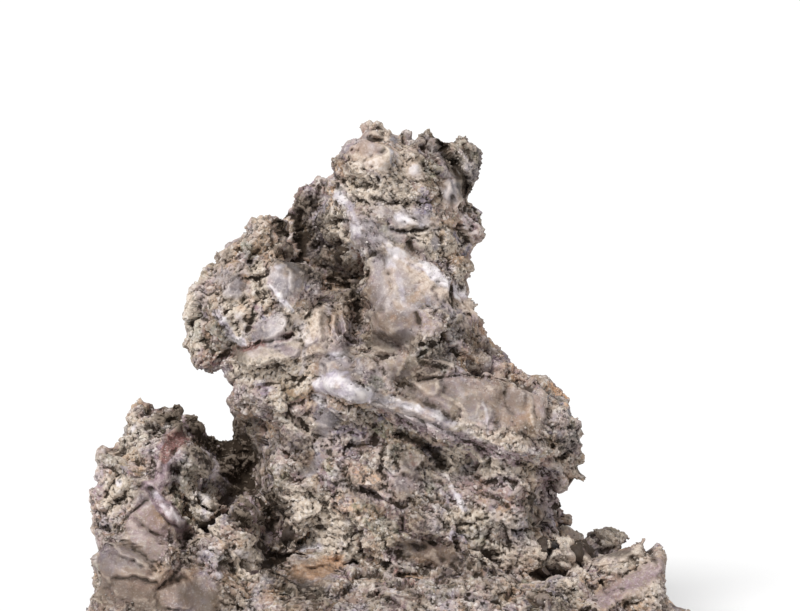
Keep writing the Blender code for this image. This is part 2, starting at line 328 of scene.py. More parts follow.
@dataclass
class Face:
    """The vertices of a mesh as the camera sees them.

    Attributes:
        sight: The camera.
        points: The vertices, in millimetres.
        normals: Their normals.
        cell: How wide the squares are, in pixels, in which the nearest vertex hides the others.
        border: How many such squares lie past each edge of the picture.
        hides: How far behind the nearest a vertex starts to be hidden, and is quite hidden, in millimetres.
        pixels: Where each vertex falls in the picture.
        drawn: The same, drawn out of true, so that no mark on the stone has a straight border.
        depth: How far in front of the camera each is, in millimetres.
        seen: How far each is seen, from 0 to 1.
    """

    sight: Sight
    points: np.ndarray
    normals: np.ndarray
    cell: float = 3.0
    border: int = 20
    hides: tuple[float, float] = (3.0, 6.0)
    pixels: np.ndarray = field(init=False)
    drawn: np.ndarray = field(init=False)
    depth: np.ndarray = field(init=False)
    seen: np.ndarray = field(init=False)

    def __post_init__(self) -> None:
        """Finds which vertices face the camera with nothing in front of them."""
        self.pixels, self.depth = self.sight.see(self.points)
        forward = self.sight.axes()[2]
        turned = -(self.normals @ forward)
        wide, high = (int(side / self.cell) + 4 * self.border for side in self.sight.size)
        grid = np.full((high, wide), 1e9)
        column = np.clip((self.pixels[:, 0] / self.cell).astype(int) + self.border, 0, wide - 1)
        row = np.clip((self.pixels[:, 1] / self.cell).astype(int) + self.border, 0, high - 1)
        np.minimum.at(grid, (row, column), self.depth)
        front = np.minimum.reduce([np.roll(grid, step, axis) for step in (-1, 0, 1) for axis in (0, 1)])
        hidden = self.depth - front[row, column]
        self.seen = ramp(turned, -0.25, 0.15) * (1.0 - ramp(hidden, *self.hides))
        waver = bend(self.points, 5.0, 2.2, 8) + bend(self.points, 1.6, 1.5, 9)
        self.drawn = self.pixels + waver[:, :2]

    def away_from(self, path: Path, reach: float) -> tuple[np.ndarray, np.ndarray]:
        """How far the vertices near a path are from it.

        Args:
            path: The path, in pixels.
            reach: How far from it to look.

        Returns:
            The numbers of the vertices near it, and how many pixels each is from it.
        """
        line = np.array(path, float)
        low, high = line.min(axis=0) - reach, line.max(axis=0) + reach
        near = np.flatnonzero(((self.drawn > low) & (self.drawn < high)).all(axis=1) & (self.seen > 0.01))
        spots = self.drawn[near]
        best = np.full(len(near), 1e9)
        if len(line) == 1:
            best = np.hypot(*(spots - line[0]).T)
        for start, end in zip(line[:-1], line[1:]):
            along = end - start
            share = np.clip(((spots - start) @ along) / (along @ along), 0.0, 1.0)
            best = np.minimum(best, np.hypot(*(spots - start - share[:, None] * along).T))
        return near, best


# What the stone's face is made of.


@dataclass(frozen=True)
class Plane:
    """A flat face: a crystal, a crust or a clean break.

    Attributes:
        at: Its middle, in pixels.
        half: Half its length and width, in pixels.
        turn: How far its length is turned, anticlockwise, in degrees.
        lean: How much further back it lies per pixel to the right and per pixel up, in millimetres.
        lift: How far it stands out from the stone about it, in millimetres.
        hold: How flat it is, from 0 to 1.
    """

    at: Pixel
    half: Pixel
    turn: float
    lean: Pixel
    lift: float
    hold: float = 0.9


@dataclass(frozen=True)
class Stroke:
    """A groove, crack, pit, ridge or boss.

    Attributes:
        path: The path, in pixels. A path of one point is round.
        wide: Half its width, in pixels.
        deep: How deep it is pressed in, in millimetres. Below 0 it stands out.
    """

    path: Path
    wide: float
    deep: float


@dataclass(frozen=True)
class Fill:
    """A gap that goes in less far than the rock's masses leave it.

    Attributes:
        at: Its middle, in pixels.
        half: Half its width and height, in pixels.
        front: How far back its rim lies from the middle of the rock, in millimetres.
        left: The share of its depth past the rim that is left.
    """

    at: Pixel
    half: Pixel
    front: float
    left: float


@dataclass(frozen=True)
class Nudge:
    """A push of the rock's edge across the picture, in pixels to the right and down."""

    at: Pixel
    reach: float
    push: Pixel


class Mineral(Enum):
    """What a mark lays on the stone. The value is the name of the mesh attribute that holds it."""

    QUARTZ = "quartz"
    CHALCEDONY = "chalcedony"
    CREAM = "cream"
    BROWN = "brown"
    MAUVE = "mauve"
    RUST = "rust"
    OCHRE = "ochre"
    GREEN = "green"
    SLATE = "slate"
    # Painted shade: dark brown laid where the stone lies in shadow.
    SHADE = "shade"
    # Pale stone, partly its own colour and partly painted light on faces that lie in shadow.
    LIGHT = "light"
    SMOOTH = "smooth"


SILICA = (Mineral.QUARTZ, Mineral.CHALCEDONY)
# The values that the mesh holds at each vertex and the stone is coloured by.
HELD = (*(mineral.value for mineral in Mineral), "crevice")
# How smooth each of these leaves the stone, from 0 to 1.
SMOOTHNESS = {Mineral.SMOOTH: 1.0, Mineral.CHALCEDONY: 0.8, Mineral.QUARTZ: 0.8}


@dataclass(frozen=True)
class Mark:
    """A mineral or stain along a path. A path of one point is a round patch.

    Attributes:
        path: The path, in pixels.
        wide: Half its width, in pixels.
        strength: How much of the mineral there is, where 1 covers the stone.
        feather: The share of its half width over which it fades, on both sides.
    """

    path: Path
    wide: float
    strength: float = 1.0
    feather: float = 0.6


PLANES: tuple[Plane, ...] = (
    # the head
    Plane((369, 146), (17, 15), 25, (0.02, 0.08), 0.9, 0.95),
    Plane((352, 158), (12, 6), 30, (-0.05, 0.14), 0.4, 0.9),
    Plane((455, 186), (6, 12), -20, (0.14, 0.02), 1.1, 0.95),
    Plane((446, 190), (5, 10), -20, (-0.12, 0.04), 0.7, 0.95),
    Plane((457, 202), (9, 6), -20, (0.02, 0.10), 0.3),
    Plane((406, 219), (16, 4), -16, (0.0, 0.05), 0.9),
    Plane((312, 200), (12, 16), -30, (0.10, 0.02), 0.4, 0.7),
    Plane((440, 206), (12, 10), 10, (0.05, 0.06), 0.4, 0.6),
    Plane((465, 152), (10, 13), 20, (0.06, 0.05), 0.5, 0.7),
    # the ramp and the pool
    Plane((378, 284), (13, 28), 12, (-0.06, 0.08), 0.2, 0.6),
    Plane((404, 276), (11, 22), 24, (0.04, 0.06), 0.0, 0.5),
    Plane((397, 310), (16, 18), 10, (0.02, 0.07), 0.0, 0.5),
    Plane((428, 284), (12, 24), 40, (-0.02, 0.08), 0.2, 0.6),
    Plane((448, 298), (9, 22), 42, (0.08, 0.06), 0.2, 0.6),
    Plane((468, 306), (6, 20), 20, (0.10, 0.05), 0.5, 0.9),
    Plane((427, 325), (14, 15), 40, (-0.10, 0.08), 2.2, 0.95),
    Plane((449, 336), (7, 24), -28, (0.22, 0.0), 1.4, 0.95),
    Plane((338, 366), (14, 9), 15, (0.05, 0.10), 0.7, 0.92),
    Plane((362, 374), (9, 10), -20, (-0.06, 0.06), 0.4, 0.9),
    Plane((394, 366), (16, 9), 0, (0.02, 0.09), -0.3, 0.7),
    # the shoulder
    Plane((279, 276), (11, 15), -30, (-0.12, 0.05), 1.4, 0.95),
    Plane((296, 281), (7, 13), 12, (0.24, 0.0), 1.0, 0.95),
    Plane((274, 328), (13, 9), 30, (-0.06, 0.10), 1.0, 0.95),
    Plane((236, 287), (14, 8), 35, (0.05, 0.06), 0.5),
    Plane((275, 352), (30, 7), 8, (0.0, 0.12), 0.5, 0.7),
    Plane((262, 236), (14, 13), 20, (-0.02, 0.06), 0.3, 0.5),
    Plane((314, 326), (7, 22), -14, (-0.12, 0.04), 0.9, 0.9),
    Plane((326, 322), (6, 20), -4, (0.12, 0.06), 0.5, 0.9),
    Plane((342, 320), (7, 18), 8, (-0.06, 0.06), 0.6, 0.85),
    Plane((278, 356), (20, 6), 6, (0.02, 0.14), 0.6, 0.85),
    Plane((270, 380), (24, 9), 30, (0.02, 0.08), 0.3, 0.5),
    # the ledge
    Plane((384, 402), (14, 8), -20, (0.0, 0.08), 0.8, 0.7),
    Plane((428, 384), (15, 8), -25, (-0.06, 0.16), 0.5, 0.9),
    Plane((470, 388), (27, 10), -8, (0.03, 0.12), 0.4, 0.9),
    Plane((455, 411), (7, 13), 25, (0.10, 0.02), -0.3, 0.8),
    Plane((481, 415), (13, 12), -15, (-0.05, 0.06), 0.5, 0.9),
    Plane((514, 399), (9, 16), 8, (-0.08, 0.05), 0.3, 0.6),
    Plane((541, 404), (9, 14), 10, (0.07, 0.07), 0.3, 0.6),
    Plane((556, 416), (9, 12), 15, (-0.04, 0.05), 0.3, 0.8),
    Plane((512, 434), (13, 7), 10, (0.0, 0.12), 0.4, 0.6),
    Plane((436, 417), (30, 3.5), -28, (0.0, 0.08), 0.6, 0.7),
    Plane((562, 431), (7, 6), 0, (0.0, 0.08), 0.6, 0.8),
    # the face below the ledge
    Plane((394, 455), (6, 9), -25, (0.22, 0.0), -0.6),
    Plane((411, 458), (12, 11), -30, (-0.06, 0.04), 0.9),
    Plane((366, 462), (13, 12), 30, (-0.02, 0.05), 0.9, 0.7),
    Plane((352, 500), (15, 12), -15, (-0.03, 0.05), 0.7, 0.7),
    Plane((404, 486), (12, 12), 40, (0.05, 0.04), 0.6, 0.8),
    Plane((480, 478), (12, 8), 50, (-0.05, 0.05), 0.6, 0.7),
    Plane((500, 512), (12, 9), 50, (0.06, 0.05), 0.5, 0.7),
    Plane((372, 535), (12, 16), -10, (0.04, 0.05), 0.8, 0.7),
    Plane((318, 452), (14, 14), -50, (0.05, 0.04), 0.6, 0.6),
    Plane((305, 505), (16, 14), 20, (-0.04, 0.06), 0.5, 0.6),
    Plane((500, 568), (9, 12), -20, (-0.08, 0.05), 0.9, 0.8),
    Plane((440, 590), (14, 9), -10, (0.03, 0.08), 0.8, 0.7),
    Plane((402, 574), (18, 12), -12, (0.02, 0.08), 0.9, 0.7),
    Plane((360, 592), (18, 8), 12, (0.0, 0.10), 0.5, 0.6),
    # the left crag
    Plane((146, 517), (22, 14), -42, (0.05, 0.05), 0.3, 0.85),
    Plane((147, 547), (34, 13), -38, (0.02, 0.09), 0.4, 0.85),
    Plane((116, 566), (32, 16), -36, (-0.01, 0.04), -0.5, 0.85),
    Plane((150, 590), (40, 12), -8, (0.04, 0.10), 0.2, 0.85),
    Plane((174, 594), (22, 15), -8, (0.03, 0.08), 0.0, 0.95),
    Plane((110, 600), (20, 10), -36, (-0.06, 0.06), 0.6, 0.9),
    Plane((165, 506), (27, 6), -48, (-0.05, 0.10), 1.9, 0.97),
    Plane((212, 582), (14, 10), -30, (0.05, 0.06), 0.0, 0.7),
    Plane((206, 508), (8, 10), -20, (0.04, 0.04), 0.8, 0.7),
    # the right shoulder
    Plane((634, 580), (34, 9), 27, (0.03, 0.08), 0.9, 0.85),
    Plane((600, 606), (30, 7), 25, (0.02, 0.09), 0.5, 0.7),
    Plane((593, 584), (8, 8), 20, (-0.12, 0.02), -0.8, 0.8),
    Plane((610, 541), (13, 8), -10, (0.05, 0.09), 0.6, 0.8),
    Plane((560, 511), (7, 9), 20, (0.08, 0.02), 0.5),
)

NUDGES: tuple[Nudge, ...] = (
    # the head
    Nudge((390, 124), 14, (-1, 5)),
    Nudge((336, 152), 15, (4, 3)),
    Nudge((352, 135), 9, (2, 3)),
    Nudge((404, 136), 7, (0, -5)),
    Nudge((425, 134), 10, (0, -6)),
    Nudge((445, 134), 10, (0, 12)),
    Nudge((461, 140), 9, (-1, -3)),
    Nudge((478, 160), 14, (-2, 0)),
    Nudge((480, 200), 13, (-12, 0)),
    Nudge((483, 219), 9, (3, 0)),
    Nudge((475, 240), 9, (2, 0)),
    Nudge((471, 258), 9, (-4, 0)),
    Nudge((467, 290), 10, (4, 0)),
    Nudge((472, 308), 10, (3, 0)),
    # the wing
    Nudge((302, 186), 20, (2, 2)),
    Nudge((288, 206), 15, (5, 2)),
    Nudge((326, 176), 12, (6, 4)),
    Nudge((293, 236), 17, (-11, 0)),
    # the shoulder
    Nudge((200, 276), 15, (-3, -1)),
    Nudge((184, 318), 30, (8, 0)),
    Nudge((199, 368), 11, (3, -2)),
    Nudge((229, 388), 9, (4, 0)),
    # the ledge
    Nudge((484, 329), 15, (-4, 3)),
    Nudge((513, 361), 14, (-2, 2)),
    Nudge((560, 386), 12, (0, 2)),
    Nudge((543, 374), 10, (0, 3)),
    Nudge((553, 380), 10, (-2, 4)),
    Nudge((566, 488), 10, (-3, -5)),
    Nudge((578, 414), 15, (-10, 0)),
    Nudge((577, 474), 9, (3, 9)),
    Nudge((557, 491), 9, (4, -1)),
    Nudge((561, 501), 6, (-2, 4)),
    Nudge((568, 520), 10, (1, 0)),
    # the right shoulder
    Nudge((586, 529), 17, (0, 7)),
    Nudge((571, 533), 7, (-2, 5)),
    Nudge((618, 533), 14, (4, 2)),
    Nudge((640, 548), 12, (0, -6)),
    Nudge((656, 546), 10, (-2, 1)),
    Nudge((628, 546), 9, (0, -4)),
    Nudge((669, 575), 17, (-5, 3)),
    Nudge((680, 594), 14, (-12, 3)),
    # the left crag
    Nudge((138, 408), 9, (-3, -4)),
    Nudge((154, 402), 11, (0, 4)),
    Nudge((180, 409), 12, (1, -6)),
    Nudge((203, 427), 10, (5, -1)),
    Nudge((116, 441), 11, (3, 7)),
    Nudge((220, 441), 12, (0, -4)),
    Nudge((231, 406), 8, (1, 0)),
    Nudge((233, 428), 7, (-3, 0)),
    Nudge((98, 452), 14, (-4, -2)),
    Nudge((92, 560), 70, (3, 0)),
)

FILLS: tuple[Fill, ...] = (
    Fill((322, 531), (38, 33), -18.0, 0.35),
    Fill((566, 556), (28, 24), -8.0, 0.15),
    Fill((206, 504), (20, 22), -19.0, 0.2),
    Fill((470, 364), (16, 12), -13.0, 0.2),
    Fill((350, 254), (14, 14), -6.0, 0.25),
    Fill((384, 349), (32, 16), -16.0, 0.25),
    Fill((338, 270), (34, 22), 2.0, 0.35),
    Fill((252, 560), (18, 15), -23.0, 0.15),
    Fill((346, 549), (15, 13), -18.0, 0.2),
    Fill((536, 557), (20, 16), -13.0, 0.1),
    Fill((560, 554), (18, 14), -10.0, 0.25),
)

STROKES: tuple[Stroke, ...] = (
    # the head
    Stroke(((402, 134), (406, 146)), 4, 1.0),
    Stroke(((390, 134), (396, 150), (398, 166)), 4, -1.0),
    Stroke(((356, 168), (378, 176), (396, 174)), 3, 0.8),
    Stroke(((440, 134), (446, 154), (458, 172), (468, 192), (472, 208)), 7, 4.5),
    Stroke(((464, 146), (470, 160)), 3, 1.2),
    Stroke(((387, 128), (389, 146)), 2, -0.8),
    Stroke(((345, 200), (352, 215), (354, 236)), 3, -0.8),
    Stroke(((391, 228), (408, 232), (432, 226)), 2.5, 1.8),
    Stroke(((336, 205), (346, 230), (356, 250)), 3, 1.2),
    Stroke(((372, 198), (392, 204), (410, 200)), 2.5, 1.2),
    Stroke(((415, 172),), 7, -1.4),
    Stroke(((430, 134),), 6, -1.2),
    Stroke(((409, 244), (414, 252)), 5, 1.8),
    Stroke(((440, 263), (450, 272)), 4, 1.8),
    Stroke(((352, 268), (368, 258), (378, 252)), 2.2, 1.3),
    Stroke(((389, 248), (410, 258), (434, 272), (462, 296)), 5, -1.1),
    Stroke(((470, 216), (474, 228)), 5, 1.6),
    Stroke(((322, 186), (314, 208), (318, 232)), 4, 1.6),
    Stroke(((298, 200), (306, 214)), 3, 1.2),
    Stroke(((286, 222), (298, 232), (310, 244)), 13, 4.5),
    Stroke(((420, 150), (424, 166)), 4, 1.4),
    # the ramp and the pool
    Stroke(((352, 270), (357, 290), (356, 325)), 8, 2.6),
    Stroke(((370, 336), (386, 339), (404, 337)), 8, 1.0),
    Stroke(((362, 349), (380, 350), (400, 351), (417, 342), (424, 332)), 3.5, -1.0),
    Stroke(((376, 362), (384, 372)), 3, 0.9),
    Stroke(((404, 356), (398, 374)), 3, -0.8),
    Stroke(((416, 314), (420, 328), (422, 344)), 3, 1.0),
    Stroke(((446, 300), (456, 306), (466, 318)), 4, 1.8),
    Stroke(((422, 356), (428, 366), (446, 370)), 5, 2.0),
    # the shoulder
    Stroke(((269, 285), (282, 300), (292, 312), (306, 330), (314, 350)), 5, -0.6),
    Stroke(((304, 296), (314, 300), (312, 314)), 4, 1.6),
    Stroke(((238, 349), (262, 343), (292, 336)), 2.4, 1.6),
    Stroke(((214, 300), (228, 322), (240, 342)), 2.6, -0.9),
    Stroke(((246, 300), (254, 315), (248, 330)), 4, 1.3),
    Stroke(((222, 262), (240, 258), (256, 266)), 3, 1.2),
    Stroke(((240, 250), (256, 276), (262, 300)), 4, 1.4),
    Stroke(((192, 322), (210, 330), (226, 326)), 4, 1.4),
    Stroke(((318, 300), (330, 318), (334, 340)), 3, 1.5),
    Stroke(((340, 296), (348, 316), (350, 338)), 2.5, -0.9),
    Stroke(((236, 376), (262, 368), (296, 360)), 2.2, 1.0),
    Stroke(((244, 392), (270, 382), (300, 378)), 2.2, 1.0),
    Stroke(((318, 384), (340, 384), (362, 396)), 6, -1.4),
    Stroke(((312, 398), (330, 404)), 4, 0.6),
    Stroke(((300, 360), (320, 352), (346, 350)), 2.5, -0.8),
    # the ledge
    Stroke(((412, 390), (425, 400), (440, 410), (453, 424)), 5, 1.5),
    Stroke(((420, 380), (460, 376), (500, 378), (535, 386)), 2.4, 1.4),
    Stroke(((441, 395), (452, 399), (463, 408), (466, 416), (474, 413), (480, 404)), 2, -0.45),
    Stroke(((437, 372), (438, 388)), 2, -0.7),
    Stroke(((483, 402), (487, 418), (490, 433)), 1.6, -0.7),
    Stroke(((507, 384), (504, 396), (497, 408), (497, 426)), 4, 1.0),
    Stroke(((528, 394), (531, 408), (533, 424)), 3, -0.5),
    Stroke(((546, 392), (550, 412), (544, 430)), 4, 0.8),
    Stroke(((524, 432), (540, 438), (552, 446)), 4, 1.8),
    Stroke(((396, 399), (413, 403), (440, 416), (463, 429), (487, 441), (512, 453)), 3.4, -0.8),
    Stroke(((400, 410), (430, 424), (460, 438), (500, 456)), 2.5, 1.2),
    Stroke(((560, 442), (567, 450), (562, 458)), 5, 2.4),
    Stroke(((574, 424), (578, 438)), 3, 1.4),
    # the face below the ledge
    Stroke(((396, 434), (412, 438), (428, 447)), 3.2, 3.0),
    Stroke(((430, 446), (436, 456), (442, 466)), 8, 5.0),
    Stroke(((384, 446), (380, 470), (392, 488)), 3, 1.6),
    Stroke(((340, 452), (350, 444), (366, 446)), 3, 1.5),
    Stroke(((344, 470), (350, 486), (368, 492), (384, 488)), 4, 1.8),
    Stroke(((300, 424), (318, 434), (330, 452)), 4, 1.6),
    Stroke(((452, 487), (459, 499), (465, 509)), 1.8, -0.7),
    Stroke(((470, 470), (482, 484), (496, 480)), 3, 1.4),
    Stroke(((410, 500), (432, 512), (448, 530)), 3, 1.5),
    Stroke(((400, 508), (402, 530), (412, 542)), 5, 2.0),
    Stroke(((478, 520), (490, 530), (484, 544)), 3, 1.6),
    Stroke(((528, 502), (536, 514), (540, 526)), 12, 3.4),
    Stroke(((506, 478), (522, 490)), 4, 1.6),
    Stroke(((520, 462), (540, 470), (556, 476)), 5, 2.4),
    Stroke(((548, 480), (552, 492)), 6, 2.4),
    Stroke(((404, 550), (430, 545), (456, 556)), 10, 3.6),
    Stroke(((428, 572), (452, 578)), 9, 2.6),
    Stroke(((484, 560), (492, 576), (488, 590)), 5, 2.0),
    Stroke(((262, 500), (276, 518), (288, 538)), 13, 3.4),
    Stroke(((270, 566), (298, 580), (334, 572)), 10, 3.0),
    Stroke(((286, 600), (330, 596), (350, 588)), 6, 2.0),
    Stroke(((378, 596), (396, 606)), 5, 2.0),
    Stroke(((540, 596), (566, 600)), 10, 2.6),
    Stroke(((500, 596), (520, 590)), 5, 1.6),
    # the left crag
    Stroke(((202, 446), (196, 433), (182, 427), (168, 434), (160, 448), (158, 466)), 5, -2.6),
    Stroke(((148, 444), (156, 430), (172, 420), (192, 422)), 3.5, 1.8),
    Stroke(((194, 446), (190, 456)), 8, -1.2),
    Stroke(((176, 448), (172, 460), (172, 474)), 2.5, 1.6),
    Stroke(((178, 470), (192, 474), (200, 482)), 5, 2.4),
    Stroke(((160, 436), (154, 456), (152, 476)), 4, 1.6),
    Stroke(((176, 470), (174, 490), (186, 508)), 6, 2.6),
    Stroke(((105, 495), (112, 484), (119, 474)), 2, 1.6),
    Stroke(((118, 500), (132, 490), (146, 484)), 2.5, 1.2),
    Stroke(((100, 530), (124, 544), (152, 568)), 7, 1.7),
    Stroke(((120, 528), (134, 510), (148, 500)), 2, 1.4),
    Stroke(((120, 530), (146, 532), (172, 540)), 2.0, 0.9),
    Stroke(((156, 590), (170, 578), (184, 564)), 2.6, 1.6),
    Stroke(((184, 526), (192, 544), (186, 562)), 8, 3.4),
    Stroke(((204, 494), (214, 520), (222, 544)), 7, -1.6),
    Stroke(((238, 500), (248, 520)), 6, -1.4),
    Stroke(((226, 556), (232, 570)), 6, 2.4),
    Stroke(((205, 560), (216, 580), (236, 590)), 4, 1.2),
    Stroke(((262, 536), (280, 548), (296, 560)), 5, -1.8),
    # the right shoulder
    Stroke(((556, 540), (574, 556), (600, 563), (628, 553), (644, 546)), 6, -2.2),
    Stroke(((572, 548), (590, 552), (628, 550)), 3, 1.4),
    Stroke(((586, 576), (600, 574), (622, 576), (646, 566)), 3, 1.8),
    Stroke(((596, 592), (606, 584)), 6, 1.6),
    Stroke(((632, 558), (640, 572)), 3, 1.0),
)

